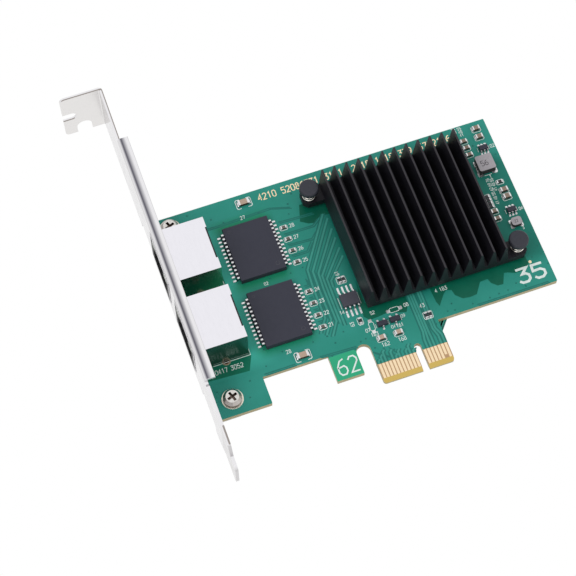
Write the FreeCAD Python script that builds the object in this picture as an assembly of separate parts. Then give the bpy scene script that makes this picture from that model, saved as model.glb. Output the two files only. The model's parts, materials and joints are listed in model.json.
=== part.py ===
import FreeCAD, Part
import math
import os

# Two-port network card, in millimetres. X runs along the board away from the bracket, Y across the
# board away from the edge connector, and Z out of the component side. The origin is where the centre
# line of the connector's key slot meets its edge, on the board's component face.

Vec = FreeCAD.Vector
UP = Vec(0, 0, 1)

# --- board ---
BOARD_T = 1.6
BOARD_TOP = 67.65            # edge away from the connector
BOARD_RIGHT = 43.4
BOARD_LOWER = 12.7           # lower edge, above the tabs and the connector
TAB_LOWER = 4.6              # lower end of the screw tab and the small tab
SCREW_TAB_RIGHT = -42.5
SMALL_TAB_LEFT = -23.9
TONGUE_LEFT = -12.15
TONGUE_RIGHT = 8.15
TONGUE_R = 0.8
NOTCH_W = 4.05               # round-ended slot beside the connector
KEY_W = 1.9
KEY_DEPTH = 8.0
BEVEL_H = 1.3
BEVEL_DEG = 20.0
BOARD_GAP = 0.7              # from the board's left edge to the bracket's inner face

# --- edge contacts ---
CONTACT_PITCH = 1.0
CONTACT_W = 0.7
CONTACT_T = 0.05
CONTACT_TOP = 5.6
SHORT_CONTACT_DROP = 1.0     # how much higher the presence contact starts
LONG_SIDE_CONTACTS = 11
SHORT_SIDE_CONTACTS = 7

# --- bracket, one folded sheet ---
SHEET = 0.86
FACE_X = -58.9               # outer face
BRACKET_W = 18.42
BRACKET_LEN = 120.02
BRACKET_LOW_Z = -4.2
TAB_REACH = 11.7             # from the outer face to the free end
TAB_TOP_Y = 106.26
FLANGE_REACH = 3.1           # outer face to the free edge of the long flange
FLANGE_Y0 = 11.1
FLANGE_Y1 = 88.3
BEND_IN = 0.35               # inner radius of every fold
RELIEF = 1.0                 # depth and width of the notches that end a fold
TONGUE_W = 10.19
TONGUE_INSET = 4.11
LOW_SHOULDER = (1.0, -5.0)   # where each shoulder starts and ends, down the bracket
HIGH_SHOULDER = (-8.2, -10.0)
TIP_R = 1.8
SCREW_SLOT_W = 4.42
SCREW_SLOT_REACH = 5.9       # from the outer face to the notch's centre line
SCREW_SLOT_DEPTH = 4.8
ALIGN_SLOT_W = 3.2
ALIGN_SLOT_DEPTH = 4.1
ALIGN_SLOT_INSET = 9.0       # from the low edge to the slot's centre line

# --- bracket screws and the lugs under the board ---
SCREW_REACH = 6.7            # from the outer face to the screws' centre line
SCREW_YS = (9.4, 64.0)
THREAD_R = 1.5
SCREW_HEAD_R = 2.6
SCREW_HEAD_H = 1.8
SCREW_LEN = 4.0
SCREW_CLEAR = 0.1
LUG_W = 9.2
LUG_REACH = 10.0
LUG_CHAMFER = 2.6
LUG_BOSS_R = 2.3
LUG_BOSS_H = 0.9

# --- network jacks ---
JACK_W = 16.4
JACK_H = 11.95
JACK_LEN = 15.25
JACK_PROUD = 0.2             # how far the jacks' mouths stand out of the bracket
JACK_YS = (50.2, 28.5)
JACK_NAMES = ("upper", "lower")
WINDOW_CLEAR = 0.35
SHIELD_T = 0.25
FIT = 0.05                   # gap between parts that seat in each other
SOCKET_W = 11.9
SOCKET_Z0 = 1.6
SOCKET_Z1 = 8.4
SOCKET_DEPTH = 11.5
LATCH_W = 6.2
LATCH_Z1 = 10.2
WIRE_ROOM_H = 5.4            # room behind the socket where the contacts turn down
LAMP_W = 3.0
LAMP_H = 1.9
LAMP_DEPTH = 5.0
WIRE_PITCH = 1.016
WIRE_W = 0.4
WIRE_T = 0.25
WIRE_COUNT = 8
WIRE_LOW_Z = 1.0             # where the contacts start under the plug
WIRE_CREST_Z = 3.3
WIRE_EXIT_Z = 2.7
PIN_OUT = 0.75               # how far soldered pins stand out under the board
SHIELD_LEG_BACK = 8.8        # from the mouth to the legs' centre
SHIELD_LEG_W = 1.5
POST_BACK = 5.7              # from the mouth to the posts' centres
POST_OFFSET = 5.7
POST_R = 1.5
FLAP_W = 9.8
FLAP_SET_IN = 0.45

# --- isolation transformers ---
COIL_X = -32.3
COIL_YS = (49.35, 28.3)
COIL_SIZE = (13.3, 17.2, 2.0)
COIL_STAND = 0.25
COIL_LEAD_COUNT = 12
COIL_FOOT_SPAN = 16.9
COIL_LEAD_PITCH = 1.27
COIL_LEAD_W = 0.5
COIL_LEAD_T = 0.22

# --- heat sink ---
SINK_X0 = -8.96
SINK_Y0 = 21.75
SINK_LEN = 39.85
SINK_BASE_T = 2.1
FIN_COUNT = 12
FIN_PITCH = 3.54
FIN_H = 7.4
FIN_TIP = 0.5
FIN_ROOT = 2.7
EDGE_FIN_INSET = 1.06        # from the side of the base to the centre of the outer fins
EAR_W = 5.2
EAR_REACH = 6.1
EAR_CHAMFER = 1.2
CHIP_SIZE = 17.0
CHIP_T = 1.2
PAD_T = 0.4

# --- spring-loaded push pins ---
PIN_INSET = 2.3              # from the free end of the ear
PIN_EDGE = 2.7               # from the side of the ear that is flush with the fins' ends
PIN_R = 1.3
PIN_HOLE_R = 1.55
PIN_HEAD_R = 2.75
PIN_HEAD_T = 1.5
PIN_TOP = 8.7
PIN_BARB_R = 1.9
PIN_TIP = -3.7
SPRING_R = 1.75
SPRING_WIRE = 0.45
SPRING_TURN_COUNT = 3
SPRING_STEP_COUNT = 10       # straight steps that make a turn

# --- small surface-mounted parts: centre x, centre y ---
MEMORY = (-12.65, 26.2)
MEMORY_SIZE = (4.9, 3.8, 1.45)
MEMORY_FOOT_SPAN = 6.9
MEMORY_LEAD_PITCH = 1.27
MEMORY_LEAD_COUNT = 4
MEMORY_LEAD_W = 0.42
MEMORY_LEAD_T = 0.2
TRANSISTORS = ((-6.65, 16.5), (-2.95, 16.6))
TRANSISTOR_SIZE = (2.9, 1.5, 1.15)
TRANSISTOR_FOOT_SPAN = 2.7
TRANSISTOR_PITCH = 1.9
PACKAGE_STAND = 0.1
SMALL_LEAD_W = 0.4
SMALL_LEAD_T = 0.15
REGULATORS = ((39.75, 58.4), (39.75, 37.3))
REGULATOR_SIZE = (2.6, 1.5, 1.1)
REGULATOR_FOOT_SPAN = 2.8
REGULATOR_PITCH = 0.95
REGULATOR_LEAD_COUNT = 3
LARGE_INDUCTOR = (38.05, 53.0)
LARGE_INDUCTOR_SIZE = (4.85, 5.0, 2.1)
SMALL_INDUCTOR = (39.5, 33.1)
SMALL_INDUCTOR_SIZE = (3.0, 2.5, 1.2)
TERMINAL_T = 0.3
BIG_CAPACITORS = ((-30.2, 64.8), (-30.2, 14.9))
BIG_CAPACITOR_SIZE = (3.2, 1.6, 1.1)
MID_CAPACITORS = ((-8.3, 12.6), (-3.4, 12.6))
MID_CAPACITOR_SIZE = (2.0, 1.25, 1.15)
EDGE_CAPACITORS = ((40.1, 65.1), (40.0, 62.3), (40.2, 43.9), (40.2, 41.65))
SINK_CAPACITORS = ((35.25, 62.35), (35.25, 60.1), (35.2, 57.75), (35.05, 38.4), (35.05, 36.05))
SMALL_CAPACITOR_SIZE = (1.75, 1.0, 0.95)
COIL_CAPACITOR_X = -22.2
COIL_CAPACITOR_PITCH = 3.8
CHIP_RESISTOR_SIZE = (1.6, 0.8, 0.45)
COIL_CAPACITOR_SIZE = (1.6, 0.8, 0.55)
SINK_RESISTORS = ((40.1, 46.8), (34.75, 43.5), (34.75, 42.4), (34.75, 41.3), (34.75, 40.2))
UPRIGHT_RESISTORS = ((-13.15, 32.9), (-12.05, 32.9), (-12.0, 19.4), (5.55, 14.9), (6.65, 14.9))

# --- derived places ---
INNER_X = FACE_X + SHEET
BRACKET_HIGH_Z = BRACKET_LOW_Z + BRACKET_W
LUG_LOW_Z = -BOARD_T - SHEET
BOARD_LEFT = INNER_X + BOARD_GAP
NOTCH_X = TONGUE_LEFT - NOTCH_W / 2
SINK_W = (FIN_COUNT - 1) * FIN_PITCH + 2 * EDGE_FIN_INSET
SINK_CX = SINK_X0 + SINK_W / 2
SINK_CY = SINK_Y0 + SINK_LEN / 2
SINK_Z0 = CHIP_T + PAD_T
SINK_Z1 = SINK_Z0 + SINK_BASE_T
PIN_DX = SINK_W / 2 + EAR_REACH - PIN_INSET
PIN_DY = SINK_LEN / 2 - PIN_EDGE
PUSH_PINS = ((SINK_CX - PIN_DX, SINK_CY + PIN_DY), (SINK_CX + PIN_DX, SINK_CY - PIN_DY))
JACK_FRONT = FACE_X - JACK_PROUD
JACK_REAR = JACK_FRONT + JACK_LEN
SHIELD_LEG_X = JACK_FRONT + SHIELD_LEG_BACK
POST_X = JACK_FRONT + POST_BACK
SCREW_X = FACE_X + SCREW_REACH
SCREW_SLOT_X = FACE_X - SCREW_SLOT_REACH
BEND_OUT = BEND_IN + SHEET


def box(x0, x1, y0, y1, z0, z1):
    return Part.makeBox(x1 - x0, y1 - y0, z1 - z0, Vec(x0, y0, z0))


def rod(x, y, z0, z1, radius):
    return Part.makeCylinder(radius, z1 - z0, Vec(x, y, z0), UP)


def fuse(shapes):
    first, rest = shapes[0], shapes[1:]
    if not rest:
        return first
    return first.multiFuse(rest).removeSplitter()


def group(shapes):
    return Part.makeCompound(shapes)


def on_xy(u, v):
    return Vec(u, v, 0)


def on_yz(u, v):
    return Vec(0, u, v)


def on_xz(u, v):
    return Vec(u, 0, v)


def outline(corners, place):
    """Closed wire through (u, v) or (u, v, radius) corners, rounded where a radius is given."""
    joins = []
    count = len(corners)
    for i, corner in enumerate(corners):
        here = place(corner[0], corner[1])
        radius = corner[2] if len(corner) > 2 else 0
        if not radius:
            joins.append((here, here, here))
            continue
        before = place(*corners[i - 1][:2])
        after = place(*corners[(i + 1) % count][:2])
        back = (before - here).normalize()
        ahead = (after - here).normalize()
        half = back.getAngle(ahead) / 2
        reach = radius / math.tan(half)
        middle = (back + ahead).normalize() * (radius / math.sin(half) - radius)
        joins.append((here + back * reach, here + middle, here + ahead * reach))
    edges = []
    for i, (start, middle, end) in enumerate(joins):
        if (start - end).Length > 1e-6:
            edges.append(Part.Arc(start, middle, end).toShape())
        following = joins[(i + 1) % count][0]
        if (following - end).Length > 1e-6:
            edges.append(Part.LineSegment(end, following).toShape())
    return Part.Wire(edges)


def plate(corners, place, start, thickness):
    """Outline extruded along the normal of its plane, from start over thickness."""
    normal = {on_xy: Vec(0, 0, 1), on_yz: Vec(1, 0, 0), on_xz: Vec(0, 1, 0)}[place]
    face = Part.Face(outline(corners, place))
    face.translate(normal * start)
    return face.extrude(normal * thickness)


def board_outline():
    low = TAB_LOWER
    round_r = NOTCH_W / 2 - 0.01
    return [
        (BOARD_LEFT, low),
        (SCREW_TAB_RIGHT, low, 0.3),
        (SCREW_TAB_RIGHT, BOARD_LOWER),
        (SMALL_TAB_LEFT, BOARD_LOWER),
        (SMALL_TAB_LEFT, low),
        (TONGUE_LEFT - NOTCH_W, low),
        (TONGUE_LEFT - NOTCH_W, BOARD_LOWER, round_r),
        (TONGUE_LEFT, BOARD_LOWER, round_r),
        (TONGUE_LEFT, 0, TONGUE_R),
        (TONGUE_RIGHT, 0, TONGUE_R),
        (TONGUE_RIGHT, BOARD_LOWER),
        (BOARD_RIGHT, BOARD_LOWER, 0.3),
        (BOARD_RIGHT, BOARD_TOP, 0.3),
        (BOARD_LEFT, BOARD_TOP),
    ]


def connector_bevels():
    """Wedges that thin the connector's edge on both faces."""
    depth = BEVEL_H * math.tan(math.radians(BEVEL_DEG))
    reach = BEVEL_H * 0.2
    width = TONGUE_RIGHT - TONGUE_LEFT + 2
    wedges = []
    for face, side in ((0, 1), (-BOARD_T, -1)):
        run = depth * (1 + reach / BEVEL_H)
        corners = [
            (-reach, face + side * reach),
            (BEVEL_H, face + side * reach),
            (BEVEL_H, face),
            (-reach, face - side * run),
        ]
        wedges.append(plate(corners, on_yz, TONGUE_LEFT - 1, width))
    return wedges


def shield_leg_places():
    return [(SHIELD_LEG_X, y + side * (JACK_W / 2 - SHIELD_T / 2)) for y in JACK_YS for side in (-1, 1)]


def wire_places(jack_y):
    """Soldered ends of a jack's contacts, in two staggered rows."""
    places = []
    for i in range(WIRE_COUNT):
        y = jack_y + (i - (WIRE_COUNT - 1) / 2) * WIRE_PITCH
        x = JACK_FRONT + SOCKET_DEPTH + 0.7 + 1.7 * (i % 2)
        places.append((x, y))
    return places


def slot(x, y, length, width):
    """Hole through the board for a flat leg of the given section."""
    a, b = length / 2 + FIT, width / 2 + FIT
    return box(x - a, x + a, y - b, y + b, -BOARD_T - 1, 1)


def circuit_board():
    board = plate(board_outline(), on_xy, -BOARD_T, BOARD_T)
    key = box(-KEY_W / 2, KEY_W / 2, -1, KEY_DEPTH - KEY_W / 2, -BOARD_T - 1, 1)
    cuts = [key, rod(0, KEY_DEPTH - KEY_W / 2, -BOARD_T - 1, 1, KEY_W / 2)]
    cuts += connector_bevels()
    cuts += [rod(SCREW_X, y, -BOARD_T - 1, 1, THREAD_R + SCREW_CLEAR) for y in SCREW_YS]
    cuts += [rod(x, y, -BOARD_T - 1, 1, PIN_HOLE_R) for x, y in PUSH_PINS]
    cuts += [rod(POST_X, y + side * POST_OFFSET, -BOARD_T - 1, 1, POST_R + FIT)
             for y in JACK_YS for side in (-1, 1)]
    cuts += [slot(x, y, SHIELD_LEG_W, SHIELD_T) for x, y in shield_leg_places()]
    cuts += [slot(x, y, WIRE_T, WIRE_W) for jack_y in JACK_YS for x, y in wire_places(jack_y)]
    return board.cut(cuts)


def contact_strips(face_z, outward, short_index):
    """Contact strips on one face of the connector, with one that starts higher."""
    left = [-(LONG_SIDE_CONTACTS + 0.5 - i) * CONTACT_PITCH for i in range(LONG_SIDE_CONTACTS)]
    right = [(1.5 + i) * CONTACT_PITCH for i in range(SHORT_SIDE_CONTACTS)]
    strips = []
    low_z = face_z if outward > 0 else face_z - CONTACT_T
    for i, x in enumerate(left + right):
        y0 = BEVEL_H + (SHORT_CONTACT_DROP if i == short_index else 0)
        half = CONTACT_W / 2
        strips.append(box(x - half, x + half, y0, CONTACT_TOP, low_z, low_z + CONTACT_T))
    return group(strips)


def fold(reach, y0, y1, edge_z, inward):
    """L section along Y: a strip of the face that bends round into a flange beside edge_z."""
    strip = BEND_OUT + 1.0
    corners = [
        (FACE_X, edge_z, BEND_OUT),
        (FACE_X + reach, edge_z),
        (FACE_X + reach, edge_z + inward * SHEET),
        (INNER_X, edge_z + inward * SHEET, BEND_IN),
        (INNER_X, edge_z + inward * strip),
        (FACE_X, edge_z + inward * strip),
    ]
    return plate(corners, on_xz, y0, y1 - y0)


def bracket_face():
    """Flat outline of the face, from the fold of the top tab down to the tongue's tip."""
    low, high = BRACKET_LOW_Z, BRACKET_HIGH_Z
    tip = TAB_TOP_Y - BRACKET_LEN
    tongue0 = low + TONGUE_INSET
    tongue1 = tongue0 + TONGUE_W
    neck = high - RELIEF
    top = TAB_TOP_Y - BEND_OUT
    corners = [
        (top, low),
        (top, high),
        (FLANGE_Y1 + RELIEF, neck),
        (FLANGE_Y1, neck),
        (FLANGE_Y1, high - BEND_OUT),
        (FLANGE_Y0, high - BEND_OUT),
        (FLANGE_Y0, neck),
        (FLANGE_Y0 - RELIEF, neck),
        (FLANGE_Y0 - 2 * RELIEF, high),
        (HIGH_SHOULDER[0], high, 0.8),
        (HIGH_SHOULDER[1], tongue1),
        (tip, tongue1, TIP_R),
        (tip, tongue0, TIP_R),
        (LOW_SHOULDER[1], tongue0),
        (LOW_SHOULDER[0], low, 1.5),
    ]
    for y in SCREW_YS:
        corners += [
            (y - LUG_W / 2 - RELIEF, low),
            (y - LUG_W / 2 - RELIEF, LUG_LOW_Z + BEND_OUT),
            (y + LUG_W / 2 + RELIEF, LUG_LOW_Z + BEND_OUT),
            (y + LUG_W / 2 + RELIEF, low),
        ]
    return plate(corners, on_yz, FACE_X, SHEET)


def bracket_tab():
    """Top tab, folded outwards, with its screw notch and the slot in its free end."""
    low, high = BRACKET_LOW_Z, BRACKET_HIGH_Z
    under = TAB_TOP_Y - SHEET
    end = FACE_X - TAB_REACH
    section = [
        (INNER_X, TAB_TOP_Y - BEND_OUT),
        (INNER_X, TAB_TOP_Y, BEND_OUT),
        (end, TAB_TOP_Y),
        (end, under),
        (FACE_X, under, BEND_IN),
        (FACE_X, TAB_TOP_Y - BEND_OUT),
    ]
    tab = plate(section, on_xy, low, BRACKET_W)
    trim = plate([(end, low, 1.2), (end, high, 1.6), (INNER_X + 1, high), (INNER_X + 1, low)],
                 on_xz, TAB_TOP_Y - 3 * SHEET, 4 * SHEET)
    notch_r = SCREW_SLOT_W / 2
    notch_z = low + SCREW_SLOT_DEPTH - notch_r
    slot_r = ALIGN_SLOT_W / 2
    slot_z = low + ALIGN_SLOT_INSET
    slot_x = end + ALIGN_SLOT_DEPTH - slot_r
    notch = box(SCREW_SLOT_X - notch_r, SCREW_SLOT_X + notch_r, under - 1, TAB_TOP_Y + 1, low - 1, notch_z)
    slot = box(end - 1, slot_x, under - 1, TAB_TOP_Y + 1, slot_z - slot_r, slot_z + slot_r)
    rounds = [Part.makeCylinder(notch_r, SHEET + 2, Vec(SCREW_SLOT_X, under - 1, notch_z), Vec(0, 1, 0)),
              Part.makeCylinder(slot_r, SHEET + 2, Vec(slot_x, under - 1, slot_z), Vec(0, 1, 0))]
    return tab.common(trim).cut([notch, slot] + rounds)


def bracket_lug(y):
    """Lug folded in under the board, with a drawn and threaded boss."""
    half = LUG_W / 2
    end = FACE_X + LUG_REACH
    folded = fold(LUG_REACH, y - half, y + half, LUG_LOW_Z, 1)
    corners = [
        (FACE_X - 1, y - half),
        (end - LUG_CHAMFER, y - half),
        (end, y - half + LUG_CHAMFER),
        (end, y + half - LUG_CHAMFER),
        (end - LUG_CHAMFER, y + half),
        (FACE_X - 1, y + half),
    ]
    lug = folded.common(plate(corners, on_xy, LUG_LOW_Z - 1, SHEET + BEND_OUT + 3))
    boss = rod(SCREW_X, y, LUG_LOW_Z - LUG_BOSS_H, LUG_LOW_Z, LUG_BOSS_R)
    return lug.fuse(boss)


def bracket():
    pieces = [bracket_face(), bracket_tab()]
    pieces.append(fold(FLANGE_REACH, FLANGE_Y0, FLANGE_Y1, BRACKET_HIGH_Z, -1))
    pieces += [bracket_lug(y) for y in SCREW_YS]
    sheet = fuse(pieces)
    cuts = [rod(SCREW_X, y, LUG_LOW_Z - LUG_BOSS_H - 1, 0, THREAD_R + FIT) for y in SCREW_YS]
    half = JACK_W / 2 + WINDOW_CLEAR
    for y in JACK_YS:
        cuts.append(box(FACE_X - 1, INNER_X + 1, y - half, y + half, -WINDOW_CLEAR, JACK_H + WINDOW_CLEAR))
    return sheet.cut(cuts)


def bracket_screw(y):
    """Pan-head screw with a cross recess."""
    profile = [
        (0, -SCREW_LEN),
        (THREAD_R, -SCREW_LEN),
        (THREAD_R, 0),
        (SCREW_HEAD_R, 0),
        (SCREW_HEAD_R, SCREW_HEAD_H * 0.5),
        (SCREW_HEAD_R * 0.7, SCREW_HEAD_H),
        (0, SCREW_HEAD_H),
    ]
    face = Part.Face(outline(profile, on_xz))
    screw = face.revolve(Vec(0, 0, 0), UP, 360)
    arm, width, depth = SCREW_HEAD_R * 0.55, 0.75, 1.1
    for turn in (20, 110):
        bar = box(-arm, arm, -width / 2, width / 2, SCREW_HEAD_H - depth, SCREW_HEAD_H + 1)
        bar.rotate(Vec(0, 0, 0), UP, turn)
        screw = screw.cut(bar)
    screw.translate(Vec(SCREW_X, y, 0))
    return screw


def jack_shield(y):
    """Folded shield: top, sides and a rear flap set in from the corners, with soldered legs."""
    half = JACK_W / 2
    thick = SHIELD_T
    outer = box(JACK_FRONT, JACK_REAR, y - half, y + half, 0, JACK_H)
    inner = box(JACK_FRONT - 1, JACK_REAR - thick, y - half + thick, y + half - thick, -1, JACK_H - thick)
    recess = box(JACK_REAR - FLAP_SET_IN, JACK_REAR + 1, y - FLAP_W / 2, y + FLAP_W / 2, -1, JACK_H + 1)
    flap_x = JACK_REAR - FLAP_SET_IN
    flap = box(flap_x - thick, flap_x, y - FLAP_W / 2 - 1, y + FLAP_W / 2 + 1, 0.6, JACK_H - thick)
    shell = outer.cut([inner, recess])
    links = [box(flap_x - thick, JACK_REAR - thick, y + side * (FLAP_W / 2 + 0.5) - 0.5,
                 y + side * (FLAP_W / 2 + 0.5) + 0.5, 0.6, JACK_H - thick) for side in (-1, 1)]
    legs = []
    for side in (-1, 1):
        edge = y + side * (half - thick / 2)
        legs.append(box(SHIELD_LEG_X - SHIELD_LEG_W / 2, SHIELD_LEG_X + SHIELD_LEG_W / 2,
                        edge - thick / 2, edge + thick / 2, -BOARD_T - PIN_OUT, 0))
    return fuse([shell, flap] + links + legs)


def jack_housing(y):
    """Moulded insert with the plug's socket, its latch channel, lamp pockets and two posts."""
    half = JACK_W / 2 - SHIELD_T - FIT
    rear = JACK_REAR - SHIELD_T - FLAP_SET_IN - SHIELD_T - FIT
    top = JACK_H - SHIELD_T - FIT
    block = box(JACK_FRONT, rear, y - half, y + half, 0, top)
    posts = [rod(POST_X, y + side * POST_OFFSET, -BOARD_T - PIN_OUT, 0, POST_R) for side in (-1, 1)]
    body = fuse([block] + posts)
    inside = JACK_FRONT + SOCKET_DEPTH
    room = WIRE_COUNT * WIRE_PITCH / 2
    cuts = [box(JACK_FRONT - 1, inside, y - SOCKET_W / 2, y + SOCKET_W / 2, SOCKET_Z0, SOCKET_Z1),
            box(JACK_FRONT - 1, inside - 1, y - LATCH_W / 2, y + LATCH_W / 2, SOCKET_Z1 - 1, LATCH_Z1),
            box(JACK_FRONT - 1, inside, y - room, y + room, 0.9, 2.5),
            box(inside - 1, rear + 1, y - room, y + room, -1, WIRE_ROOM_H)]
    cuts += [lamp(y, side, FIT) for side in (-1, 1)]
    return body.cut(cuts)


def lamp(y, side, grow):
    """Indicator window above the socket, beside the latch channel."""
    centre = y + side * (LATCH_W / 2 + 0.7 + LAMP_W / 2)
    half = LAMP_W / 2 + grow
    z0 = SOCKET_Z1 + 0.5
    back = JACK_FRONT + LAMP_DEPTH + grow
    return box(JACK_FRONT - grow, back, centre - half, centre + half, z0 - grow, z0 + LAMP_H + grow)


def jack_wires(y):
    """Spring contacts rising from the socket's floor, then down through the board."""
    wires = []
    rise_x = JACK_FRONT + 2.2
    crest_x = JACK_FRONT + SOCKET_DEPTH - 3.0
    for x_pin, wire_y in wire_places(y):
        corners = [
            (rise_x, WIRE_LOW_Z),
            (rise_x + 0.6, WIRE_LOW_Z),
            (crest_x, WIRE_CREST_Z),
            (JACK_FRONT + SOCKET_DEPTH - 0.6, WIRE_EXIT_Z),
            (x_pin - WIRE_T / 2, WIRE_EXIT_Z),
            (x_pin - WIRE_T / 2, -BOARD_T - PIN_OUT),
            (x_pin + WIRE_T / 2, -BOARD_T - PIN_OUT),
            (x_pin + WIRE_T / 2, WIRE_EXIT_Z + WIRE_T),
            (JACK_FRONT + SOCKET_DEPTH - 0.6, WIRE_EXIT_Z + WIRE_T),
            (crest_x, WIRE_CREST_Z + WIRE_T),
            (rise_x, WIRE_LOW_Z + WIRE_T),
        ]
        wires.append(plate(corners, on_xz, wire_y - WIRE_W / 2, WIRE_W))
    return group(wires)


def chip_body(x, y, size, stand, draft=0.12):
    """Moulded package, widest at its parting line."""
    length, width, height = size
    middle = stand + height * 0.55
    levels = [(stand, draft), (middle, 0), (stand + height, draft)]
    wires = []
    for z, inset in levels:
        a, b = length / 2 - inset, width / 2 - inset
        wire = outline([(x - a, y - b), (x + a, y - b), (x + a, y + b), (x - a, y + b)], on_xy)
        wire.translate(Vec(0, 0, z))
        wires.append(wire)
    return Part.makeLoft(wires, True, True)


def gull_lead(body_half, foot_half, exit_z, width, thick):
    """Gull-wing lead leaving a package towards +X, centred on Y = 0."""
    shoulder = body_half + (foot_half - body_half) * 0.3
    ankle = body_half + (foot_half - body_half) * 0.5
    corners = [
        (body_half, exit_z),
        (body_half, exit_z + thick),
        (shoulder + thick * 0.5, exit_z + thick),
        (ankle + thick * 0.5, thick),
        (foot_half, thick),
        (foot_half, 0),
        (ankle - thick * 0.5, 0),
        (shoulder - thick * 0.5, exit_z),
    ]
    return plate(corners, on_xz, -width / 2, width)


def lead_rows(x, y, lead, pitch, count, turns):
    """Copies of a lead along each side that the turns name, in degrees from +X."""
    leads = []
    for turn in turns:
        for i in range(count):
            copy = lead.copy()
            copy.translate(Vec(0, (i - (count - 1) / 2) * pitch, 0))
            copy.rotate(Vec(0, 0, 0), UP, turn)
            copy.translate(Vec(x, y, 0))
            leads.append(copy)
    return leads


def transformer_leads(y):
    exit_z = COIL_STAND + COIL_SIZE[2] * 0.55
    lead = gull_lead(COIL_SIZE[0] / 2, COIL_FOOT_SPAN / 2, exit_z, COIL_LEAD_W, COIL_LEAD_T)
    return group(lead_rows(COIL_X, y, lead, COIL_LEAD_PITCH, COIL_LEAD_COUNT, (0, 180)))


def fin_profile():
    """Cross-section of the extrusion: flat base and tapered fins."""
    root, tip = FIN_ROOT / 2, FIN_TIP / 2
    top = SINK_Z1 + FIN_H
    corners = [(SINK_X0, SINK_Z0), (SINK_X0, SINK_Z1)]
    for i in range(FIN_COUNT):
        centre = SINK_X0 + EDGE_FIN_INSET + i * FIN_PITCH
        left = max(centre - root, SINK_X0 + 0.01)
        right = min(centre + root, SINK_X0 + SINK_W - 0.01)
        corners += [(left, SINK_Z1), (centre - tip, top), (centre + tip, top), (right, SINK_Z1)]
    corners += [(SINK_X0 + SINK_W, SINK_Z1), (SINK_X0 + SINK_W, SINK_Z0)]
    return corners


def sink_ear(side):
    """Ear that a push pin holds: the left one at the far end, the right one at the near end."""
    inner = SINK_CX + side * (SINK_W / 2 - 1)
    outer = SINK_CX + side * (SINK_W / 2 + EAR_REACH)
    edge = SINK_CY - side * SINK_LEN / 2
    other = edge + side * EAR_W
    cut = EAR_CHAMFER
    corners = [
        (inner, edge),
        (outer - side * cut, edge),
        (outer, edge + side * cut),
        (outer, other - side * cut),
        (outer - side * cut, other),
        (inner, other),
    ]
    return plate(corners, on_xy, SINK_Z0, SINK_BASE_T)


def heat_sink():
    extrusion = plate(fin_profile(), on_xz, SINK_Y0, SINK_LEN)
    sink = fuse([extrusion, sink_ear(-1), sink_ear(1)])
    return sink.cut([rod(x, y, SINK_Z0 - 1, SINK_Z1 + 1, PIN_HOLE_R) for x, y in PUSH_PINS])


def push_pin(x, y):
    """Headed pin with a split, barbed tip that snaps under the board."""
    under = -BOARD_T - FIT
    profile = [
        (0, PIN_TIP),
        (PIN_R - 0.5, PIN_TIP),
        (PIN_BARB_R, under - 0.5),
        (PIN_R, under),
        (PIN_R, PIN_TOP - PIN_HEAD_T),
        (PIN_HEAD_R, PIN_TOP - PIN_HEAD_T),
        (PIN_HEAD_R, PIN_TOP - 0.35),
        (PIN_HEAD_R - 0.3, PIN_TOP),
        (0, PIN_TOP),
    ]
    pin = Part.Face(outline(profile, on_xz)).revolve(Vec(0, 0, 0), UP, 360)
    split = box(-0.3, 0.3, -PIN_HEAD_R, PIN_HEAD_R, PIN_TIP - 1, 0)
    pin = pin.cut(split)
    pin.translate(Vec(x, y, 0))
    return pin


def pin_spring(x, y):
    """Helical spring between the ear and the pin's head."""
    low = SINK_Z1 + SPRING_WIRE / 2
    height = PIN_TOP - PIN_HEAD_T - SINK_Z1 - SPRING_WIRE
    steps = SPRING_TURN_COUNT * SPRING_STEP_COUNT
    sections = []
    for i in range(steps + 1):
        turn = math.radians(360 * i / SPRING_STEP_COUNT)
        around = Vec(math.cos(turn), math.sin(turn), 0)
        centre = Vec(x, y, low + height * i / steps) + around * SPRING_R
        ring = []
        for j in range(6):
            side = math.radians(60 * j)
            ring.append(centre + (around * math.cos(side) + UP * math.sin(side)) * (SPRING_WIRE / 2))
        sections.append(Part.makePolygon(ring + ring[:1]))
    return Part.makeLoft(sections, True, True)


def small_package(x, y, size):
    return chip_body(x, y, size, PACKAGE_STAND, 0.08)


def memory_leads():
    exit_z = PACKAGE_STAND + MEMORY_SIZE[2] * 0.5
    lead = gull_lead(MEMORY_SIZE[1] / 2, MEMORY_FOOT_SPAN / 2, exit_z, MEMORY_LEAD_W, MEMORY_LEAD_T)
    return group(lead_rows(MEMORY[0], MEMORY[1], lead, MEMORY_LEAD_PITCH, MEMORY_LEAD_COUNT, (90, 270)))


def transistor_leads():
    exit_z = PACKAGE_STAND + TRANSISTOR_SIZE[2] * 0.5
    lead = gull_lead(TRANSISTOR_SIZE[1] / 2, TRANSISTOR_FOOT_SPAN / 2, exit_z, SMALL_LEAD_W, SMALL_LEAD_T)
    leads = []
    for x, y in TRANSISTORS:
        leads += lead_rows(x, y, lead, TRANSISTOR_PITCH, 2, (90,))
        leads += lead_rows(x, y, lead, TRANSISTOR_PITCH, 1, (270,))
    return group(leads)


def regulator_leads():
    exit_z = PACKAGE_STAND + REGULATOR_SIZE[2] * 0.5
    lead = gull_lead(REGULATOR_SIZE[1] / 2, REGULATOR_FOOT_SPAN / 2, exit_z, SMALL_LEAD_W, SMALL_LEAD_T)
    leads = []
    for x, y in REGULATORS:
        leads += lead_rows(x, y, lead, REGULATOR_PITCH, REGULATOR_LEAD_COUNT, (90, 270))
    return group(leads)


def inductor(x, y, size, corner):
    """Moulded inductor that sits on its terminals."""
    a, b = size[0] / 2, size[1] / 2
    corners = [(x - a, y - b, corner), (x + a, y - b, corner), (x + a, y + b, corner), (x - a, y + b, corner)]
    return plate(corners, on_xy, TERMINAL_T, size[2])


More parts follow.
